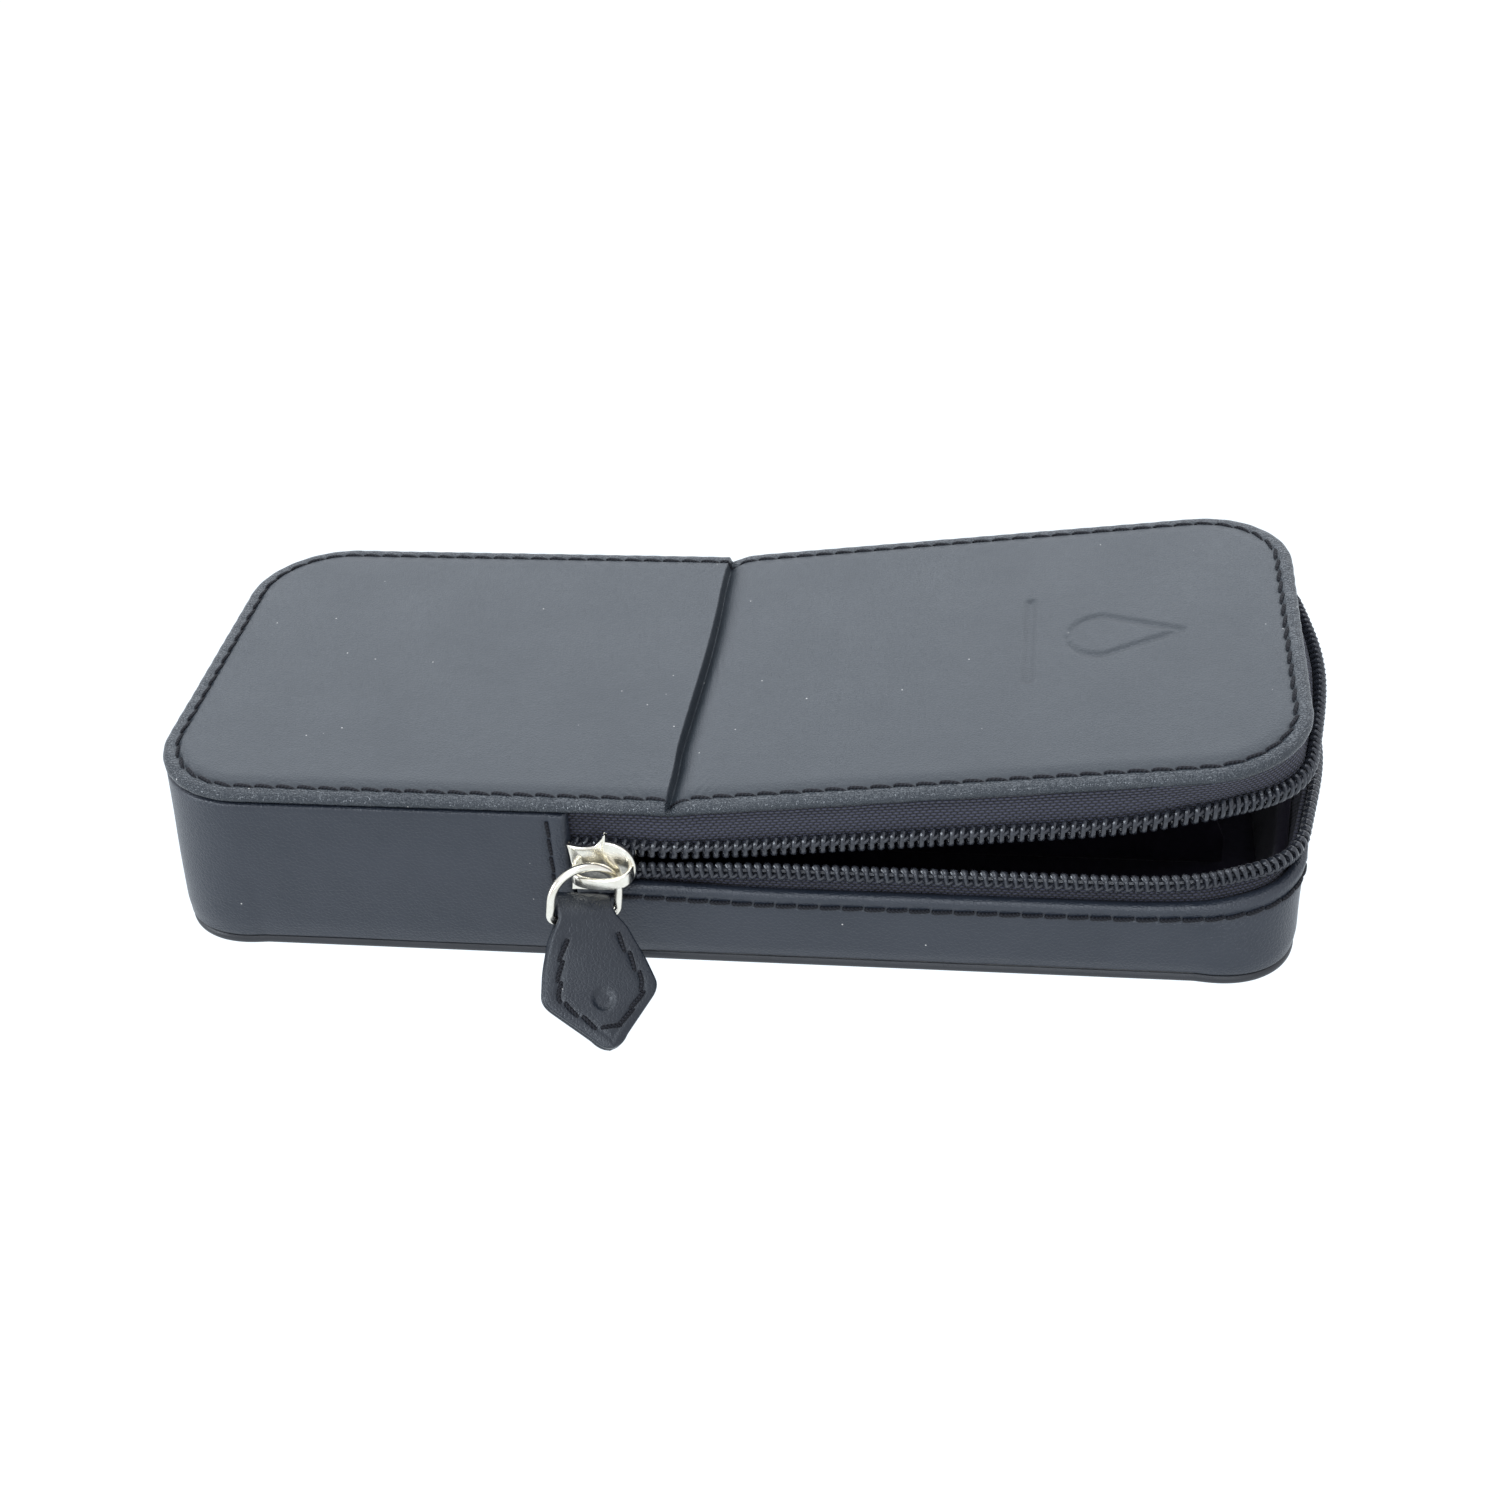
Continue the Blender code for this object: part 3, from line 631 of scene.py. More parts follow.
def cover_skin():
    """The covers' leather. Returns its shape, and the outline with its normals, distances and stitches."""
    columns = cover_columns()
    across = np.linspace(-1, 1, COVER_ROWS)
    x = np.repeat(columns[:, :1], COVER_ROWS, 1)
    y = columns[:, 1:2] * across
    bent = x + 0.3 * np.sin(y / 11 + 0.7) * bump(x - HINGE[0], 3) * smooth((27 - np.abs(y)) / 8)
    level = TOP - crease(x, y) + wrinkles(x, y) - mark(x, y) + 0.02 * ripple(x, y, 17, 4)
    shape = Shape()
    shape.loft(np.stack([bent, y, level], -1), np.stack([x, y, 0 * x], -1), round_ring=False, caps=False)
    count = len(columns)
    front = [(column, 0) for column in range(count)]
    right = [(count - 1, row) for row in range(1, COVER_ROWS)]
    back = [(column, COVER_ROWS - 1) for column in reversed(range(count - 1))]
    left = [(0, row) for row in reversed(range(1, COVER_ROWS - 1))]
    loop = front + right + back + left
    outline = np.concatenate([
        np.stack([columns[:, 2], -HALF_WIDTH + CORNER + CORNER * columns[:, 4]], -1),
        np.stack([np.full(COVER_ROWS - 1, HALF_LENGTH), y[-1, 1:]], -1),
        np.stack([columns[::-1, 2][1:], HALF_WIDTH - CORNER - CORNER * columns[::-1, 4][1:]], -1),
        np.stack([np.full(COVER_ROWS - 2, -HALF_LENGTH), y[0, 1:-1][::-1]], -1),
    ])
    normals = np.concatenate([
        columns[:, 3:5],
        np.tile([1.0, 0.0], (COVER_ROWS - 1, 1)),
        (columns[::-1, 3:5] * [1, -1])[1:],
        np.tile([-1.0, 0.0], (COVER_ROWS - 2, 1)),
    ])
    seam = outline - STITCH_INSET * normals
    lengths = np.linalg.norm(np.diff(seam, axis=0, append=seam[:1]), axis=1)
    distance = np.concatenate([[0], np.cumsum(lengths)[:-1]])
    around = lengths.sum()
    pitch = around / round(around / STITCH_PITCH)
    profile = cover_profile()
    grid = np.stack([cover_ring(outline, normals, distance, pitch, *spot) for spot in profile])
    surface = np.zeros_like(grid)
    surface[..., 0], surface[..., 1] = distance[None], profile[:, :1]
    surface[..., 2] = smooth((2.2 - profile[:, :1]) / 0.8)
    first = shape.put(grid, surface)
    size = len(loop)
    inner = [column * COVER_ROWS + row for column, row in loop]
    under = inner
    for step in range(len(profile)):
        before, under = under, [first + step * size + spot for spot in range(size)]
        for spot in range(size):
            beside = (spot + 1) % size
            shape.faces.append([before[spot], under[spot], under[beside], before[beside]])
    opposite = [under[count + COVER_ROWS - 2 + count - 1 - column] for column in range(count)]
    for column in range(1, count - 2):
        shape.faces.append([under[column + 1], under[column], opposite[column], opposite[column + 1]])
    lid_end, fixed_end = under[count - 2:count + COVER_ROWS], under[2 * count + COVER_ROWS - 4:] + under[:2]
    shape.faces.extend([lid_end[::-1], fixed_end[::-1]])
    return shape, (outline, normals, distance, pitch, around)


def cover_ring(outline, normals, distance, pitch, inset, height):
    """One ring of the cover's edge, with puckers between the stitches and the pinch at the fold."""
    flat = outline - inset * normals
    fold = crease(flat[:, 0], flat[:, 1])
    on_roll = smooth((2.1 - inset) / 0.8)
    side = smooth(-height / 1.2)
    phase = 2 * math.pi * distance / pitch
    swell = (0.035 * np.cos(phase + math.pi) + 0.03 * ripple(flat[:, 0], flat[:, 1], 8.0, 8)) * on_roll
    hole = at_holes(distance, pitch, 0.42)
    groove = (0.14 + 0.26 * hole) * bump(inset - STITCH_INSET, 0.4)
    gather = 0.06 * hole * bump(inset - 1.6, 0.5)
    out = side * swell * 0.8 - fold * 0.3 * side
    z = (TOP + height - groove - gather + swell * (1 - side) - fold * (1 - 0.75 * side)
         + wrinkles(flat[:, 0], flat[:, 1]) * (1 - side))
    moved = flat + normals * out[:, None]
    return np.concatenate([moved, z[:, None]], -1)


def cover_stitches(line):
    """Slanting stitches, each sinking into its holes at both ends."""
    outline, normals, distance, pitch, around = line
    path = (*(np.vstack([values, values[:1]]) for values in (outline, normals)), np.append(distance, around))
    shape = Shape()
    draw = np.random.default_rng(11)
    for stitch in range(round(around / pitch)):
        share = np.linspace(0.06, 0.97, 9)
        spots = []
        slant = draw.uniform(0.24, 0.36)
        for part in share:
            place, normal = on_path(path, (stitch + part) * pitch)
            inset = STITCH_INSET + slant * (1 - 2 * part)
            flat = place - normal * inset
            rise = -STITCH_DIP - 0.06 - 0.42 * abs(2 * part - 1) ** 4
            spots.append((*flat, TOP + rise - float(crease(flat[0], flat[1]))))
        radius = THREAD / 2 * (1 - 0.35 * np.abs(2 * share - 1) ** 3)
        tube(shape, spots, radius, (0, 0, 1), 7)
    return shape


def build_cover():
    shape, line = cover_skin()
    shape.bend_open(COVER_BEND)
    finish_hinged(shape.make("cover_skin", COVER_LEATHER, 60), COVER_BEND, "leather",
                  "fixed_cover_leather", "hinge_leather", "lid_leather")
    thread = cover_stitches(line)
    thread.bend_open(COVER_BEND)
    finish_hinged(thread.make("cover_stitching", BLACK_THREAD), COVER_BEND, "leather")


# ---- Walls and bottom ----


def strip_section(foot, head, inset, thickness, steps=16, edge=0.42):
    """(inset, z) round a leather strip that stands on edge, with rounded top and bottom edges."""
    half, flat = thickness / 2, head - foot - 2 * edge
    section = [(inset, foot + edge + flat * step / steps) for step in range(steps + 1)]
    for angle in np.radians(np.arange(30, 181, 30)):
        section.append((inset + half * (1 - math.cos(angle)), head - edge + edge * math.sin(angle)))
    section += [(inset + thickness, head - edge - flat * (step + 1) / 6) for step in range(5)]
    for angle in np.radians(np.arange(0, 151, 30)):
        section.append((inset + half * (1 + math.cos(angle)), foot + edge - edge * math.sin(angle)))
    return np.array(section)


def outer_face(section):
    """1 on a strip's outer face, falling to 0 through its thickness."""
    return smooth((WALL_INSET + LEATHER / 2 - section[:, 0]) / (LEATHER / 2))[None, :]


def build_wall():
    """Full-height leather round the fixed half, folded back at the two ends of the zip."""
    path = side_path(SEAM_EDGE, SEAM_EDGE, 0.4, left=True)
    distance = path[2]
    section = strip_section(WALL_HEM, WALL_HEAD + 0.15, WALL_INSET, LEATHER, 30)
    from_end = np.minimum(distance, distance[-1] - distance)[:, None]
    outside = outer_face(section)
    height = section[None, :, 1]
    share = (height - WALL_FOOT) / (WALL_HEAD - WALL_FOOT)
    swell = 0.1 * np.sin(np.pi * np.clip(share, 0, 1)) * smooth(from_end / 9)
    swell = swell + foot_corner(path) * (1 - np.clip(share, 0, 1)) - 0.25 * bump(share, 0.06)
    swell = swell + 0.05 * ripple(distance[:, None], height, 14, 21)
    seam = abs(SEAM_EDGE - SEAM_STITCH)
    hole = at_holes(height, STITCH_PITCH, 0.5)
    groove = (0.16 + 0.14 * hole) * bump(from_end - seam, 0.4)
    folded = 0.14 * smooth((seam - 0.3 - from_end) / 0.5)
    inset = section[None, :, 0] - (swell + folded - groove) * outside
    end = np.clip(from_end / (LEATHER / 2), 0, 1)
    middle = WALL_INSET + LEATHER / 2
    inset = middle + (inset - middle) * np.sqrt(1 - (1 - end) ** 2).clip(0.06, 1)
    z = np.broadcast_to(height, inset.shape)
    shape = Shape()
    shape.loft(stand(path, inset, z), unrolled(path, z))
    finish_piece(shape.make("wall_skin", WALL_LOOK), "base", "leather", "wall_leather", "seam_strip_front",
                 "seam_strip_back")
    thread = Shape()
    for from_edge in (seam, distance[-1] - seam):
        place, normal = on_path(path, from_edge)
        for stitch in range(round((WALL_HEAD - WALL_FOOT) / STITCH_PITCH) - 1):
            low = (math.ceil(WALL_FOOT / STITCH_PITCH) + stitch) * STITCH_PITCH
            share = np.linspace(0.08, 0.92, 7)
            spots = []
            for part in share:
                sink = 0.12 + 0.3 * abs(2 * part - 1) ** 4
                flat = place - normal * (WALL_INSET + sink - 0.05)
                spots.append((flat[0] + 0.12 * (1 - 2 * part), flat[1], low + part * STITCH_PITCH))
            tube(thread, spots, THREAD / 2, (*normal, 0), 7)
    finish_piece(thread.make("seam_stitching", BLACK_THREAD), "base", "leather")


def band_lift(x):
    """The band stands a little higher beside the slider."""
    return 0.7 * (1 - smooth((x - SLIDER_X) / 26))


def band_lean(path, share):
    """How far the band stands out at a share of its height."""
    return foot_corner(path) * (1 - share) + splay(path, *OPEN_SIDE) * share**1.3


def build_band():
    """Low leather band under the zip, with a folded top edge and its stitching."""
    path = side_path(BAND_START, BAND_START, 0.45)
    distance = path[2]
    section = strip_section(WALL_HEM, BAND_TOP, WALL_INSET, LEATHER, 26, 0.7)
    outside = outer_face(section)
    height = section[None, :, 1]
    x = path[0][:, :1]
    share = (height - WALL_FOOT) / (BAND_TOP - WALL_FOOT)
    below = BAND_TOP - height
    hole = at_holes(distance, STITCH_PITCH, 0.5)[:, None]
    groove = (0.15 + 0.16 * hole) * bump(below - BAND_STITCH, 0.42)
    edge = 0.1 * smooth((BAND_STITCH - 0.35 - below) / 0.6)
    swell = 0.06 * np.sin(np.pi * np.clip(share * 1.1, 0, 1)) - 0.25 * bump(share, 0.08)
    swell = swell + 0.05 * ripple(distance[:, None], height, 12, 33)
    inset = section[None, :, 0] - (swell + edge - groove) * outside
    inset = inset - band_lean(path, np.clip(share, 0, 1))
    z = height + band_lift(x) * smooth(share * 1.2)
    shape = Shape()
    shape.loft(stand(path, inset, z), unrolled(path, z))
    finish_piece(shape.make("band_skin", WALL_LOOK), "base", "leather", "band_leather")
    thread = Shape()
    lean = band_lean(path, (BAND_TOP - BAND_STITCH - WALL_FOOT) / (BAND_TOP - WALL_FOOT))[:, 0]
    for stitch in range(int(distance[-1] / STITCH_PITCH)):
        share = np.linspace(0.07, 0.95, 8)
        spots, out = [], []
        for part in share:
            place, normal = on_path(path, (stitch + part) * STITCH_PITCH)
            sink = 0.02 + 0.3 * abs(2 * part - 1) ** 4
            out_here = np.interp((stitch + part) * STITCH_PITCH, distance, lean)
            flat = place - normal * (WALL_INSET - 0.12 + sink - out_here)
            level = BAND_TOP - BAND_STITCH + 0.13 * (2 * part - 1)
            spots.append((*flat, level + float(band_lift(flat[0]))))
            out.append((*normal, 0))
        tube(thread, spots, THREAD / 2, np.array(out), 7)
    finish_piece(thread.make("band_stitching", BLACK_THREAD), "base", "leather")


def plate(shape, path, insets_heights, out=0.0):
    """A flat plate over a closed path: one ring for each (inset, z), capped by strips from front to back."""
    moved = (path[0] + path[1] * np.reshape(out, (-1, 1)), path[1], path[2])
    rings = [stand(moved, [inset], [z])[:, 0] for inset, z in insets_heights]
    grid = np.stack(rings)
    surface = np.zeros_like(grid)
    surface[..., 0] = path[2][None]
    surface[..., 1] = np.array(insets_heights)[:, :1]
    first = shape.count
    shape.loft(grid, surface, caps=False)
    around = len(path[0])
    half = around // 2
    for ring, turn in ((0, 1), (len(rings) - 1, -1)):
        for spot in range(-(half // 2), half - half // 2):
            corners_round = (spot, spot + 1, half - spot - 1, half - spot)
            face = list(dict.fromkeys(first + ring * around + corner % around for corner in corners_round))
            if len(face) > 2:
                shape.faces.append(face[::turn])


def build_bottom():
    """The bottom's leather, with a rounded edge that stands just clear of the walls."""
    middle = (WALL_HEM - 0.1) / 2
    profile = [(6.0, 0.0), (1.4, 0.0)]
    for step in range(11):
        angle = math.radians(-90 + 18 * step)
        profile.append((1.15 - 0.6 * math.cos(angle), middle + middle * math.sin(angle)))
    profile += [(2.2, 2 * middle), (2.6, BASE_TOP), (4.0, BASE_TOP)]
    path = closed_path(0.6)
    shape = Shape()
    plate(shape, path, profile, foot_corner(path)[:, 0])
    finish_piece(shape.make("bottom_skin", EDGE_PAINT, 50), "base", "leather", "base_leather")


# ---- Zip ----


def tape_shape(path, foot, head, lean, drop):
    """A strip of tape between two heights. lean(path, z) is how far it stands out, and drop(x) how far
    its free edge hangs down."""
    steps = 12
    heights = foot + (head - foot) * np.arange(steps + 1) / steps
    outer = [(0.0, z) for z in heights]
    inner = [(0.5, z) for z in heights[::-1]]
    section = np.array(outer + inner)
    x = path[0][:, :1]
    z = np.broadcast_to(section[None, :, 1], (len(x), len(section)))
    wavy = 0.1 * ripple(path[2][:, None], z, 9, 5)
    inset = TAPE_INSET + section[None, :, 0] - lean(path, z) + wavy
    z = z - drop(x) * np.clip((COVER_FOOT - z) / 3, 0, 1)
    shape = Shape()
    shape.loft(stand(path, inset, z), unrolled(path, z))
    return shape


def upper_lean(path, z):
    """The lid's tape leans out from its root under the cover to its coil."""
    return splay(path, 3.7, 2.8) * np.clip((COVER_FOOT - z) / (COVER_FOOT - UPPER_COIL[1] + 1), 0, 1)


def upper_drop(x):
    """The lid's coil is pulled up by its tape, most of all beside the slider. Upwards is negative."""
    return -0.7 - 0.6 * (1 - smooth((x - SLIDER_X) / 22))


def lower_lean(path, z):
    """The lower tape goes on leaning a little above the band."""
    return open_side(path, z, 1.3) + splay(path, 0.4, 0.3, 9) * np.clip((z - BAND_TOP) / 3, 0, 1)


def lower_drop(x):
    """The lower coil sits close down on the band beside the slider."""
    return 0.7 * (1 - smooth((x - SLIDER_X) / 27))


def coil_shape(path, root, heads, lean, drop):
    """Nylon coil: a filament wound round a cord, with its loops' heads pressed wide."""
    turns = int(path[2][-1] / COIL_PITCH)
    steps = 14
    share = np.arange(turns * steps + 1) / steps
    angle = 2 * math.pi * share
    towards = np.cos(angle)  # 1 at the heads
    fine = share * COIL_PITCH
    place, normal = (
        np.stack([np.interp(fine, path[2], values[:, axis]) for axis in (0, 1)], -1) for values in path[:2]
    )
    normal /= np.linalg.norm(normal, axis=1)[:, None]
    middle, half = (root + heads) / 2, (heads - root) / 2
    z = middle + (half - np.sign(half) * COIL_WIRE) * towards
    depth = 0.62 * np.sin(angle)
    lean_here = np.interp(fine, path[2], lean(path, middle)[:, 0])
    inset = COIL_INSET + 0.2 - depth - lean_here
    z = z - drop(place[:, 0])
    flat = place - normal * inset[:, None]
    strand = np.concatenate([flat, z[:, None]], -1)
    along = np.stack([-normal[:, 1], normal[:, 0], 0 * z], -1)
    wide = 1 + 0.6 * smooth((towards - 0.7) / 0.3)
    shape = Shape()
    tube(shape, strand, COIL_WIRE, np.cross(along, np.gradient(strand, axis=0)), 7, flat=wide)
    core = []
    for spot in range(0, len(path[0]), 2):
        level = middle - float(drop(path[0][spot, 0]))
        flat = path[0][spot] - path[1][spot] * (COIL_INSET + 0.6 - lean(path, middle)[spot, 0])
        core.append((*flat, level))
    tube(shape, core, 0.55, (0, 0, 1), 8)
    return shape


def coil_sewing(path, level, lean, drop):
    """Small knots that sew the coil to its tape, one between each two loops."""
    shape = Shape()
    lean_here = lean(path, level)[:, 0]
    count = int(path[2][-1] / COIL_PITCH)
    for turn in range(count):
        spots, out = [], []
        for part in (-0.5, -0.25, 0.0, 0.25, 0.5):
            place, normal = on_path(path, (turn + 0.5 + 0.75 * part) * COIL_PITCH)
            out_here = np.interp((turn + 0.5 + 0.75 * part) * COIL_PITCH, path[2], lean_here)
            stand_out = 0.45 * math.cos(math.pi * part)
            flat = place - normal * (COIL_INSET - 0.1 - stand_out - out_here)
            z = level + 0.35 * part - float(drop(place[0]))
            spots.append((*flat, z))
            out.append((*normal, 0))
        tube(shape, spots, 0.3, np.array(out), 6)
    return shape


def build_zip():
    """Tapes, coils and sewing. The lid's side bends at the hinge, and the case's side stays on the base."""
    path = side_path(TAPE_START, TAPE_START, 0.5)
    upper, lower = (upper_lean, upper_drop), (lower_lean, lower_drop)
    for name, look, slot, shape in (
        ("tape", TAPE_LOOK, "tape", tape_shape(path, UPPER_COIL[1] - 2.2, COVER_FOOT + 0.3, *upper)),
        ("coil", COIL_LOOK, "coil", coil_shape(path, UPPER_COIL[1], UPPER_COIL[0], *upper)),
        ("coil_sewing", COIL_LOOK, "coil", coil_sewing(path, UPPER_COIL[1] - 1.15, *upper)),
    ):
        shape.bend_open(TAPE_BEND)
        ends = () if name == "coil_sewing" else ("fixed_front", "fixed_back", "lid")
        nodes = [f"zip_{name}_upper_{end}" for end in ends]
        finish_hinged(shape.make("upper_" + name, look), TAPE_BEND, slot, *nodes)
    tape = tape_shape(path, TAPE_FOOT, LOWER_TAPE_HEAD, *lower)
    finish_piece(tape.make("lower_tape", TAPE_LOOK), "base", "tape", "zip_tape_lower")
    coil = coil_shape(path, *LOWER_COIL, *lower)
    finish_piece(coil.make("lower_coil", COIL_LOOK), "base", "coil", "zip_coil_lower")
    knots = coil_sewing(path, LOWER_COIL[0] + 1.0, *lower)
    finish_piece(knots.make("lower_coil_sewing", COIL_LOOK), "base", "coil")


# ---- Slider, ring and tab ----

PLATE = 0.9
PLATE_HALF_LENGTH = 5.1
PLATE_HALF_HEIGHT = 3.9
BRIDGE_HALF_LENGTH = 4.6
BRIDGE_HEIGHT = 3.7
BRIDGE_THICK = 0.8
BRIDGE_HALF_WIDTH = 1.0
WIRE = 1.3


def slider_outline():
    """A hollowed top edge between a corner and a thin horn, sweeping round to the nose."""
    length, height = PLATE_HALF_LENGTH - 0.15, PLATE_HALF_HEIGHT
    top = [(x, 4.25 - 0.45 * math.sin(math.pi * (x + length) / 4.4))
           for x in np.linspace(-length, -0.75, 11)]
    horn = [(-0.25, 4.85), (0.2, 5.4), (0.62, 6.1), (0.86, 6.3), (0.92, 6.1), (0.72, 5.5), (0.6, 5.05),
            (0.9, 4.85)]
    nose = [(1.0 + (length - 1.1) * math.sin(a), 0.45 + (height + 0.4) * math.cos(a))
            for a in np.radians(np.arange(10, 181, 6))]
    bottom = [(x, -height) for x in np.linspace(0.6, -length, 9)]
    end = [(-length + 0.35 * math.sin(math.pi * t), -height + (4.25 + height) * t)
           for t in np.linspace(0, 1, 12)[1:-1]]
    return np.array(top + horn + nose + bottom + end)


def slab_rings(outline, back, front, edge, dome=0.0):
    """Rings of a slab that faces -Y, with its front and back edges rounded and its face slightly domed."""
    ahead = np.roll(outline, -1, 0) - np.roll(outline, 1, 0)
    outward = np.stack([-ahead[:, 1], ahead[:, 0]], -1)
    outward /= np.linalg.norm(outward, axis=1)[:, None]
    rings = []

    def ring(inset, y, scale=1.0):
        flat = (outline - outward * inset) * scale
        rings.append(np.stack([SLIDER_X + flat[:, 0], np.full(len(flat), y), ZIP_Z + flat[:, 1]], -1))

    for scale in (0.05, 0.5):
        ring(edge, back, scale)
    for step in range(4):
        angle = math.radians(30 * step)
        ring(edge * (1 - math.sin(angle)), back - edge * (1 - math.cos(angle)))
    for step in range(5):
        angle = math.radians(22.5 * step)
        ring(edge * (1 - math.cos(angle)), front + edge * (1 - math.sin(angle)))
    for scale in (0.93, 0.82, 0.68, 0.5, 0.3, 0.05):
        ring(edge, front - dome * (1 - scale * scale), scale)
    return np.stack(rings)


def rounded_box(half_x, half_z, corner):
    points = []
    for side_x, side_z, first in ((1, 1, 90), (1, -1, 0), (-1, -1, -90), (-1, 1, -180)):
        for step in range(6):
            angle = math.radians(first - 18 * step)
            points.append((side_x * (half_x - corner) + corner * math.cos(angle),
                           side_z * (half_z - corner) + corner * math.sin(angle)))
    return np.array(points)


def build_slider():
    """Pierced front plate with its bridge, back plate, post and lower lip."""
    face = -HALF_WIDTH
    shape = Shape()
    shape.loft(slab_rings(slider_outline(), face, face - PLATE, 0.32, 0.18))
    angles = np.pi * np.arange(41) / 40
    foot = face - 0.7 * PLATE
    rise = BRIDGE_HEIGHT + 0.3 * PLATE - BRIDGE_THICK / 2
    along = BRIDGE_HALF_LENGTH - BRIDGE_THICK / 2
    path = np.stack([SLIDER_X + along * np.cos(angles), foot - rise * np.sin(angles) ** 0.6,
                     np.full(len(angles), ZIP_Z)], -1)
    ahead = np.gradient(path, axis=0)
    ahead /= np.linalg.norm(ahead, axis=1)[:, None]
    out = np.stack([ahead[:, 1], -ahead[:, 0], 0 * angles], -1)
    section = []
    half_wide, half_thick, edge = BRIDGE_HALF_WIDTH, BRIDGE_THICK / 2, 0.3
    for side_w, side_t, first in ((1, 1, 0), (-1, 1, 90), (-1, -1, 180), (1, -1, 270)):
        for step in range(5):
            angle = math.radians(first + 22.5 * step)
            section.append((side_w * (half_wide - edge) + edge * math.cos(angle),
                            side_t * (half_thick - edge) + edge * math.sin(angle)))
    section = np.array(section)
    wide = (1 - 0.12 * np.sin(angles) ** 2)[:, None]
    grid = (path[:, None, :] + (wide * section[None, :, 0])[..., None] * np.array([0, 0, 1.0])
            + section[None, :, 1:2] * out[:, None, :])
    shape.loft(grid)
    inner = -HALF_WIDTH + BOARD_INSET
    back = rounded_box(PLATE_HALF_LENGTH - 0.8, PLATE_HALF_HEIGHT, 1.2)
    shape.loft(slab_rings(back, inner + PLATE, inner, 0.25))
    post = rounded_box(1.3, 0.4, 0.2) + [PLATE_HALF_LENGTH - 2.5, 0]
    shape.loft(slab_rings(post, inner + PLATE / 2, face - PLATE / 2, 0.05))
    lip = rounded_box(2.04, 0.3, 0.2) + [0, -PLATE_HALF_HEIGHT + 0.3]
    shape.loft(slab_rings(lip, face + TAPE_INSET - 0.3, face - PLATE / 2, 0.08))
    finish_piece(shape.make("zip_slider", NICKEL, 35), "slider", "nickel", "slider_body")


def ring_frame():
    """The bar's middle, its direction, and the way from it to the ring's far arc."""
    middle = np.array(joint("tab_swing")["pos_m"]) * 1000
    bar = np.array(joint("tab_swing")["axis"])
    points = node_points("pull_ring") - middle
    points -= np.outer(points @ bar, bar)
    far = points[np.linalg.norm(points, axis=1).argsort()[-6:]].mean(0)
    return middle, bar, far / np.linalg.norm(far), np.linalg.norm(far)


def build_ring():
    middle, bar, up, reach = ring_frame()
    half, arc, corner = 5.1, 4.8, 1.1
    leg = reach - WIRE / 2 - arc
    quarter = np.radians(np.arange(0, 91, 15))
    outline = [(half * math.cos(a), leg + arc * math.sin(a)) for a in np.radians(np.arange(0, 181, 5))]
    outline += [(-half, leg * part) for part in (0.75, 0.55)]
    outline += [(-half + corner - corner * math.cos(a), corner - corner * math.sin(a)) for a in quarter]
    outline += [(x, 0) for x in np.linspace(-half + corner, half - corner, 9)[1:-1]]
    outline += [(half - corner + corner * math.sin(a), corner - corner * math.cos(a)) for a in quarter]
    outline += [(half, leg * part) for part in (0.55, 0.75)]
    path = [middle + x * bar + y * up for x, y in outline]
    shape = Shape()
    tube(shape, path, WIRE / 2, np.cross(bar, up), 20, closed=True)
    finish_piece(shape.make("wire_ring", NICKEL, 60), "ring", "nickel", "pull_ring")


TAB_LAYER = 0.75
TAB_LOOP = 1.33  # from the bar's middle to the middle of the leather round it
TAB_LEVEL = 0.47  # from the tab's middle to the middle of each layer where the two lie together
TAB_EDGE = 0.36  # radius of the rounded edge
TAB_PUFF = 0.22
TAB_STITCH = 2.3
TAB_PITCH = 3.0


def tab_half_width(length, full):
    """Half the tab's width at a distance from the bar: narrow strap, flare, widest, and a blunt point."""
    spots = np.array([-2.0, 0.4, 1.9, 7.0, 11.9, full - 0.7])
    halves = np.array([3.95, 4.1, 5.5, 7.6, 8.8, 1.6])
    near = [np.interp(length + step, spots, halves) for step in np.linspace(-1.2, 1.2, 9)]
    width = np.mean(near, axis=0)
    blunt = np.sqrt(np.clip(1 - np.clip((length - full + 1.3) / 1.3, 0, 1) ** 2, 0.001, 1))
    return width * blunt


def tab_frame():
    """The bar's middle, its direction, the way from it to the tab's tip, and the tab's length."""
    middle, bar, _, _ = ring_frame()
    filler = node_points("pull_tab_filler") - middle
    filler -= np.outer(filler @ bar, bar)
    ahead = filler.mean(0) / np.linalg.norm(filler.mean(0))
    full = ((node_points("pull_tab_leather") - middle) @ ahead).max() + 0.5
    return middle, bar, ahead, full


def tab_run(full):
    """The strap seen from the side, as (distance from the bar, height, way out) down one face, round the
    bar and back up the other."""
    down = np.concatenate([np.linspace(full, full - 1.2, 7), np.linspace(full - 1.6, 2.6, 44)])
    rows = []
    for side in (1, -1):
        face = []
        for length in down:
            level = TAB_LOOP + (TAB_LEVEL - TAB_LOOP) * smooth((length - 0.2) / 6.5)
            face.append((length, side * level, (0, side)))
        rows.append(face)
    loop = []
    for step in range(25):
        angle = math.radians(68 + (292 - 68) * step / 24)
        way = (math.cos(angle), math.sin(angle))
        loop.append((TAB_LOOP * way[0], TAB_LOOP * way[1], way))
    return rows[0] + loop + rows[1][::-1]


def tab_press(length, across, half):
    """Depth pressed into the tab's face: the stitch groove along its edge, and a plain round dot."""
    edge = half - np.abs(across)
    groove = 0.12 * bump(edge - TAB_STITCH, 0.5) * smooth((length - 2.5) / 1.0)
    from_dot = np.hypot(across, length - 12.6)
    return groove + 0.4 * smooth((1.7 - from_dot) / 0.5)


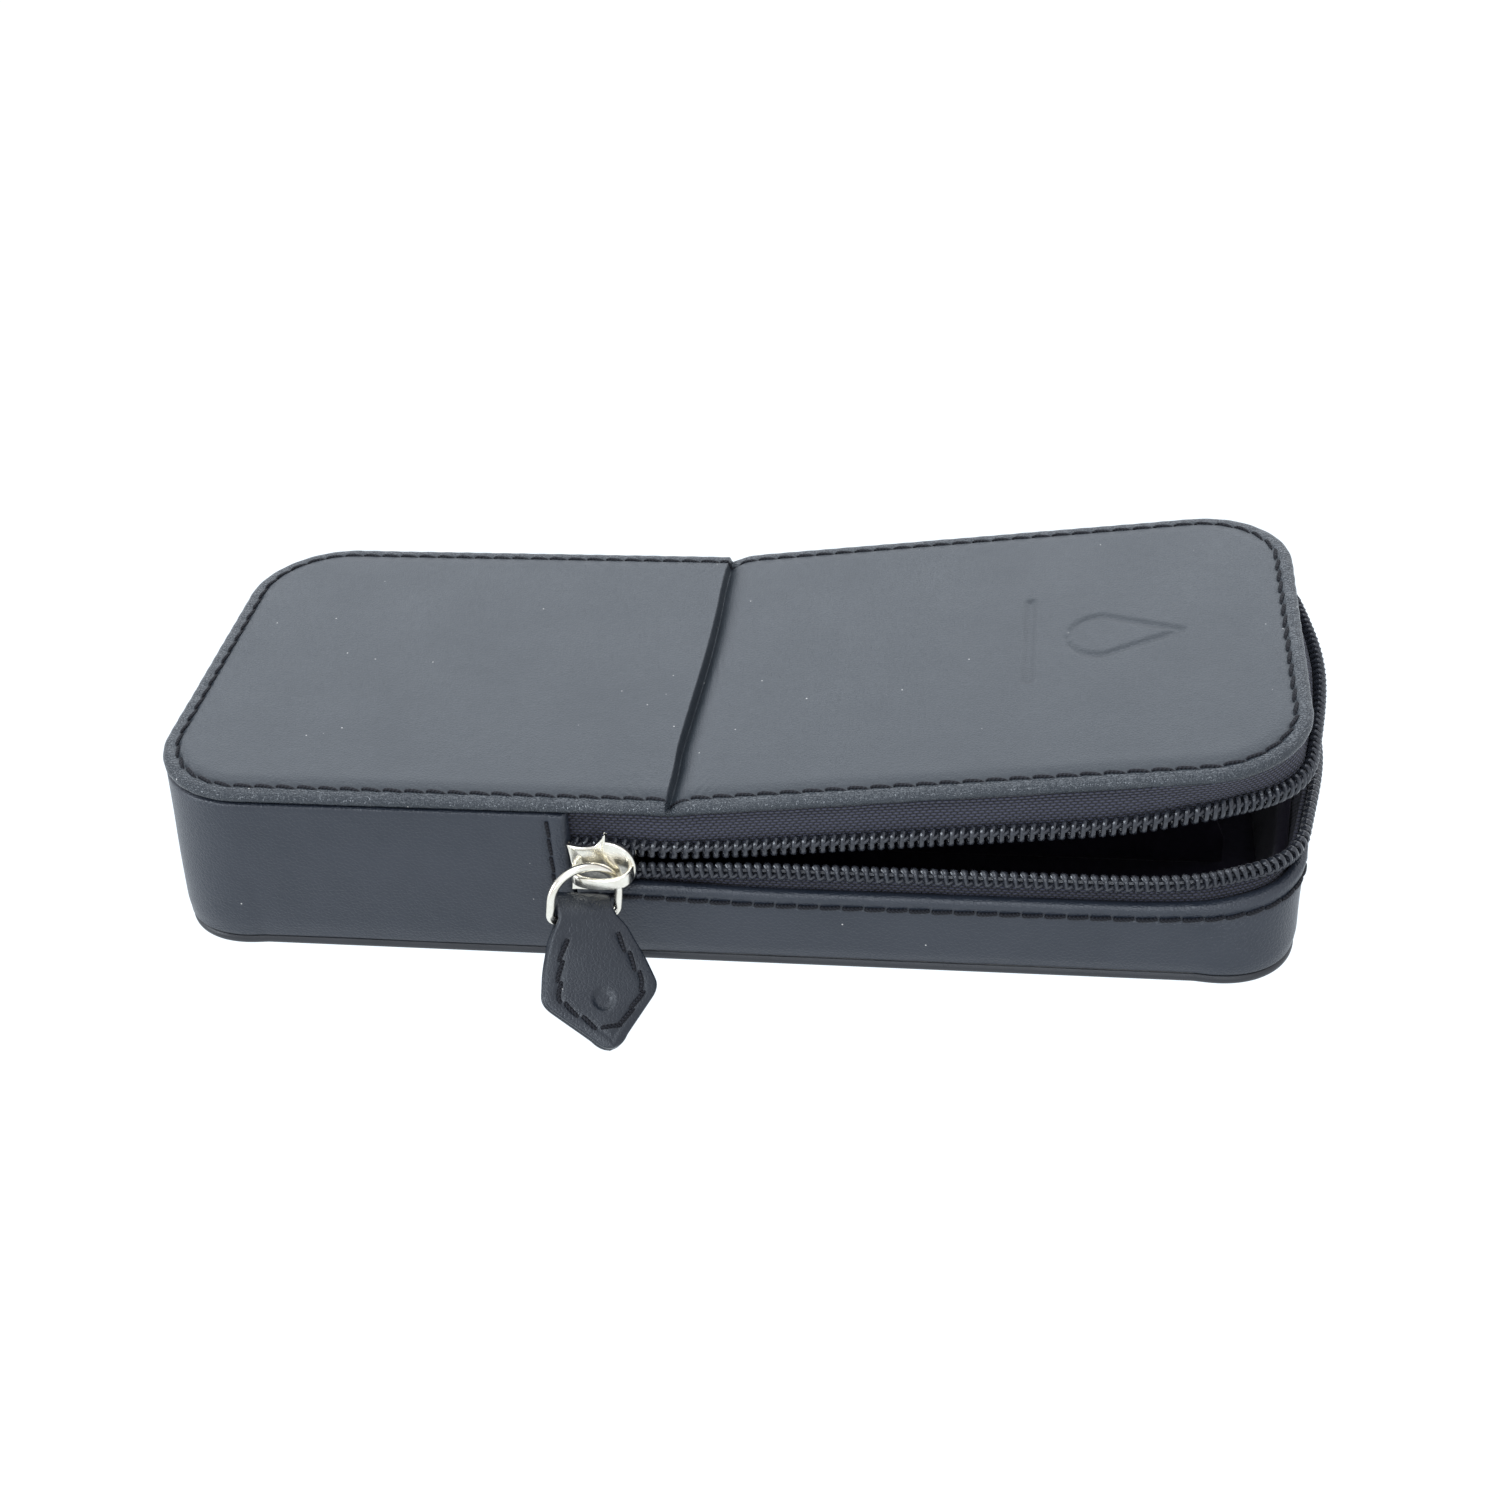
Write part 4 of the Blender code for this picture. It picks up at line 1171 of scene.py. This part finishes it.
def build_tab():
    middle, bar, ahead, full = tab_frame()
    out = np.cross(bar, ahead)
    if out[2] < 0:
        out = -out
    run = tab_run(full)
    share = np.linspace(-1, 1, 46)
    grid, surface = [], []
    for length, height, way in run:
        half = float(tab_half_width(abs(length) if length > 0 else 0.0, full))
        edge = min(TAB_EDGE, 0.45 * half)
        flat_face = way[0] == 0 and length > 2.0
        on_front = way[1] > 0
        ring, marks = [], []
        for side in (1, -1):
            for t in share * side:
                across = t * (half - edge)
                puff = 0.0
                if flat_face:
                    puff = TAB_PUFF * (1 - min(1.0, abs(t)) ** 2) * smooth((length - 3) / 3)
                depth = TAB_LAYER / 2 * side
                if side > 0 and flat_face and on_front:
                    depth -= float(tab_press(np.array(length), np.array(across), half))
                elif side > 0 and flat_face:
                    depth -= 0.14 * float(bump(half - abs(across) - TAB_STITCH, 0.4))
                ring.append((across, puff, depth))
                marks.append((length, across, 0))
            for step in range(1, 6):
                angle = math.radians(90 - 30 * step)
                across = side * (half - edge + edge * math.cos(angle))
                ring.append((across, 0.0, side * TAB_LAYER / 2 * math.sin(angle)))
                marks.append((length, side * half, 1))
        spots = []
        for across, puff, depth in ring:
            back = 1 + (1.9 - 0.75 * across / half) / TAB_LOOP if length < 0 else 1.0
            base = length * back * ahead + height * out
            normal = way[0] * ahead + way[1] * out
            sign = 1.0 if height >= 0 else -1.0
            spots.append(middle + base + across * bar + normal * depth + out * sign * puff)
        grid.append(spots)
        surface.append(marks)
    shape = Shape()
    shape.loft(np.array(grid), np.array(surface))
    finish_piece(shape.make("tab_skin", TAB_LOOK, 50), "tab", "leather", "pull_tab_leather")
    build_tab_stitches(middle, bar, ahead, out, full)


def tab_seam(full):
    """The stitch line as (distance, across): down one side of the tab, round its point and up the other."""
    lengths = np.linspace(3.3, full - 3.1, 60)
    half = np.maximum(tab_half_width(lengths, full) - TAB_STITCH, 0)
    right = np.stack([lengths, half], -1)
    left = right[::-1] * [1, -1]
    return np.vstack([right, left])


def build_tab_stitches(middle, bar, ahead, out, full):
    seam = tab_seam(full)
    lengths = np.linalg.norm(np.diff(seam, axis=0), axis=1)
    distance = np.concatenate([[0], np.cumsum(lengths)])
    count = round(distance[-1] / TAB_PITCH)
    pitch = distance[-1] / count
    shape = Shape()
    for side in (1, -1):
        for stitch in range(count):
            share = np.linspace(0.02, 0.98, 7)
            spots = []
            for part in share:
                where = (stitch + part) * pitch
                length, across = (np.interp(where, distance, seam[:, axis]) for axis in (0, 1))
                across += 0.35 * (1 - 2 * part) * np.sign(across)
                half = float(tab_half_width(np.array(length), full))
                t = across / (half - TAB_EDGE)
                level = TAB_LEVEL + (TAB_LOOP - TAB_LEVEL) * (1 - float(smooth((length - 0.2) / 6.5)))
                level += TAB_PUFF * (1 - min(1.0, abs(t)) ** 2) + TAB_LAYER / 2
                level -= 0.02 + 0.25 * abs(2 * part - 1) ** 4
                spots.append(middle + length * ahead + across * bar + side * level * out)
            tube(shape, spots, 0.34, out, 7)
    finish_piece(shape.make("tab_stitching", BLACK_THREAD), "tab", "leather")


# ---- Inside ----


def build_linings():
    """Suede inside: floor, walls, lids and the two padded ribs that part the pens."""
    low, high = corners("base_lining")
    floor = Shape()
    inset = HALF_LENGTH - high[0]
    profile = [(inset + 8, low[2]), (inset + 0.1, low[2]), (inset, low[2] + 0.2),
               (inset + 0.1, high[2] - 0.1), (inset + 0.6, high[2]), (inset + 8, high[2])]
    plate(floor, closed_path(1.5), profile)
    finish_piece(floor.make("floor_lining", SUEDE_AND_PAINTED_SHADE, 60), "base", "suede", "base_lining")
    for name, node, past_seam, left in (
        ("wall_lining_fixed", "wall_lining_left", 0.6, True),
        ("wall_lining_open", "wall_lining_right", 1.0, False),
    ):
        low, high = corners(node)
        path = side_path(SEAM_EDGE + past_seam, SEAM_EDGE + past_seam, 0.8, left)
        build_wall_lining(name, node, path, low[2], high[2])
    for node, body in (("fixed_cover_lining", "base"), ("lid_lining", "lid")):
        build_cover_lining(node, body)
    for node in ("pen_divider_front", "pen_divider_back"):
        build_divider(node)


def build_wall_lining(name, node, path, foot, head):
    """Lining that stands inside the wall; where the board ends low it turns over the board's top."""
    open_top = head < COVER_FOOT - 3
    inner, thick = LINING_INSET + 0.6, 0.6
    section = [(inner, z) for z in np.linspace(foot, head, 12)]
    if open_top:
        reach = (inner - BOARD_INSET + 0.15) / 2
        middle = inner - reach
        for step in range(1, 9):
            angle = math.radians(22.5 * step)
            section.append((middle + reach * math.cos(angle), head + 0.75 * math.sin(angle)))
        section += [(BOARD_INSET - 0.15, head - 1.5), (BOARD_INSET - 0.02, head - 1.5),
                    (BOARD_INSET - 0.02, head + 0.12), (inner - thick, head + 0.12)]
    else:
        section += [(inner - 0.3, head + 0.15), (inner - thick, head)]
    section += [(inner - thick, z) for z in np.linspace(head - 0.5, foot, 4)]
    section = np.array(section)
    z = np.broadcast_to(section[None, :, 1], (len(path[0]), len(section)))
    inset = section[None, :, 0] + 0.08 * ripple(path[2][:, None], z, 11, 17)
    nodes = [node]
    if open_top:
        inset = inset - open_side(path, z)
        nodes.append("wall_board_right")
    shape = Shape()
    shape.loft(stand(path, np.broadcast_to(inset, z.shape), z))
    finish_piece(shape.make(name, SUEDE_AND_PAINTED_SHADE, 60), "base", "suede", *nodes)


def build_cover_lining(node, body):
    """A stitched suede panel under a cover, slightly full in the middle."""
    points = node_points(node)
    if body == "lid":
        points = turn_lid(points, -LID_REST)
    low, high = points.min(0), points.max(0)
    side = -1 if body == "base" else 1
    near, far = (high[0], low[0]) if side < 0 else (low[0], high[0])
    radius = CORNER - (HALF_LENGTH - abs(far))
    length = abs(far - near)
    half = high[1]
    columns, depths = [], []
    for x in np.linspace(0, length - radius, 60, endpoint=False):
        columns.append(x)
        depths.append(half)
    for a in np.radians(np.linspace(0, 88, 16)):
        columns.append(length - radius + radius * math.sin(a))
        depths.append(half - radius + radius * math.cos(a))
    columns, depths = np.array(columns), np.array(depths)
    across = np.linspace(-1, 1, 40)
    x = np.repeat(columns[:, None], 40, 1)
    y = depths[:, None] * across
    border = np.minimum(np.minimum(x, length - x), half - np.abs(y))
    puff = 0.45 * smooth(border / 3) - 0.3 * bump(border - 2.2, 0.6) + 0.08 * ripple(x, y, 12, 9)
    under = np.stack([near + side * x, y, low[2] + 0.25 * smooth(1 - border / 0.6) - 0.4 * puff], -1)
    over = np.stack([near + side * x, y, high[2] + 0 * x], -1)
    ring = np.concatenate([under, over[:, ::-1]], 1)
    if body == "lid":
        ring = turn_lid(ring, LID_REST)
    shape = Shape()
    shape.loft(ring)
    finish_piece(shape.make(node + "_panel", SUEDE_AND_PAINTED_SHADE, 50), body, "suede", node)


def build_divider(node):
    """A padded rib, full along its crest and tucked down at both ends."""
    low, high = corners(node)
    middle = (low + high) / 2
    half = (high - low) / 2
    rings = []
    around = [(math.cos(angle), math.sin(angle)) for angle in 2 * math.pi * np.arange(28) / 28]
    for share in np.linspace(-1, 1, 90):
        end = math.sqrt(max(1 - max(0, (abs(share) - 0.965) / 0.035) ** 2, 0.0016))
        droop = 0.5 * smooth((abs(share) - 0.94) / 0.06)
        x = middle[0] + half[0] * share
        ring = []
        for cosine, sine in around:
            wide = half[1] * (0.82 + 0.18 * abs(sine)) * (1 + 0.06 * math.sin(share * 31))
            y = wide * np.sign(cosine) * abs(cosine) ** 0.55
            z = half[2] * np.sign(sine) * abs(sine) ** 0.4
            ring.append((x, middle[1] + y * end, middle[2] + z * (1 if z < 0 else end) - droop * (z > 0)))
        rings.append(ring)
    shape = Shape()
    shape.loft(np.array(rings))
    piece = finish_piece(shape.make(node + "_rib", SUEDE_AND_PAINTED_SHADE, 60), "base", "suede", node)


def dress_cad():
    """A procedural finish for the CAD nodes that stay: the boards and the tab's filler."""
    for name, obj in frame["nodes"].items():
        if "board" in name or "filler" in name:
            obj.data.materials.clear()
            obj.data.materials.append(BOARD)


# ---- Stage ----

CAMERA_PLACE = (0.047595, -0.276269, 0.213346)
CAMERA_TURN_DEG = (-9.53, 35.43, -3.88)  # heading from +Y, downwards, and roll
CAMERA_LENS = 52.685


def add_camera():
    yaw, pitch, roll = (math.radians(angle) for angle in CAMERA_TURN_DEG)
    forward = Vector((math.sin(yaw) * math.cos(pitch), math.cos(yaw) * math.cos(pitch), -math.sin(pitch)))
    level = Vector((math.cos(yaw), -math.sin(yaw), 0))
    rise = level.cross(forward)
    right = math.cos(roll) * level + math.sin(roll) * rise
    up = -math.sin(roll) * level + math.cos(roll) * rise
    data = bpy.data.cameras.new("camera")
    data.lens = CAMERA_LENS
    data.sensor_width = 36
    data.clip_start = 0.01
    obj = bpy.data.objects.new("camera", data)
    turn = Matrix((right, up, -forward)).transposed().to_4x4()
    obj.matrix_world = Matrix.Translation(CAMERA_PLACE) @ turn
    bpy.context.scene.collection.objects.link(obj)
    bpy.context.scene.camera = obj


def softbox(name, place, size, radiance, tint=(0.87, 0.96, 1.05)):
    """A rectangular light that faces the case. Radiance is what a reflection of it shows."""
    data = bpy.data.lights.new(name, "AREA")
    data.shape = "RECTANGLE"
    data.size, data.size_y = size
    data.energy = radiance * math.pi * size[0] * size[1]
    data.color = tint
    obj = bpy.data.objects.new(name, data)
    obj.location = place
    obj.rotation_euler = (-Vector(place)).to_track_quat("-Z", "Y").to_euler()
    bpy.context.scene.collection.objects.link(obj)


def add_stage():
    bpy.context.scene.view_settings.view_transform = "Standard"
    mesh = bpy.data.meshes.new("floor")
    reach = 3.0
    floor_corners = [(-reach, -reach, 0), (reach, -reach, 0), (reach, reach, 0), (-reach, reach, 0)]
    mesh.from_pydata(floor_corners, [], [(0, 1, 2, 3)])
    mesh.materials.append(lit_white("floor_white"))
    floor = bpy.data.objects.new("floor", mesh)
    bpy.context.scene.collection.objects.link(floor)
    world = bpy.data.worlds.new("studio")
    bpy.context.scene.world = world
    world.use_nodes = True
    background = world.node_tree.nodes["Background"]
    background.inputs["Color"].default_value = (0.98, 1.0, 1.06, 1)
    background.inputs["Strength"].default_value = 1.0
    softbox("overhead_softbox", (0.0, -0.1, 1.3), (1.2, 1.2), 1.5)
    softbox("back_softbox", (-0.15, 1.0, 0.75), (1.9, 0.8), 2.05)
    softbox("key_strip", (0.1, -0.75, 1.0), (0.7, 0.16), 12.0)
    softbox("front_strip", (0.35, -1.25, 0.32), (1.0, 0.12), 9.0)
    softbox("left_strip", (-1.0, -0.45, 0.35), (0.25, 0.5), 14.0)


build_cover()
build_wall()
build_band()
build_bottom()
build_zip()
build_slider()
build_ring()
build_tab()
build_linings()
dress_cad()
add_camera()
add_stage()
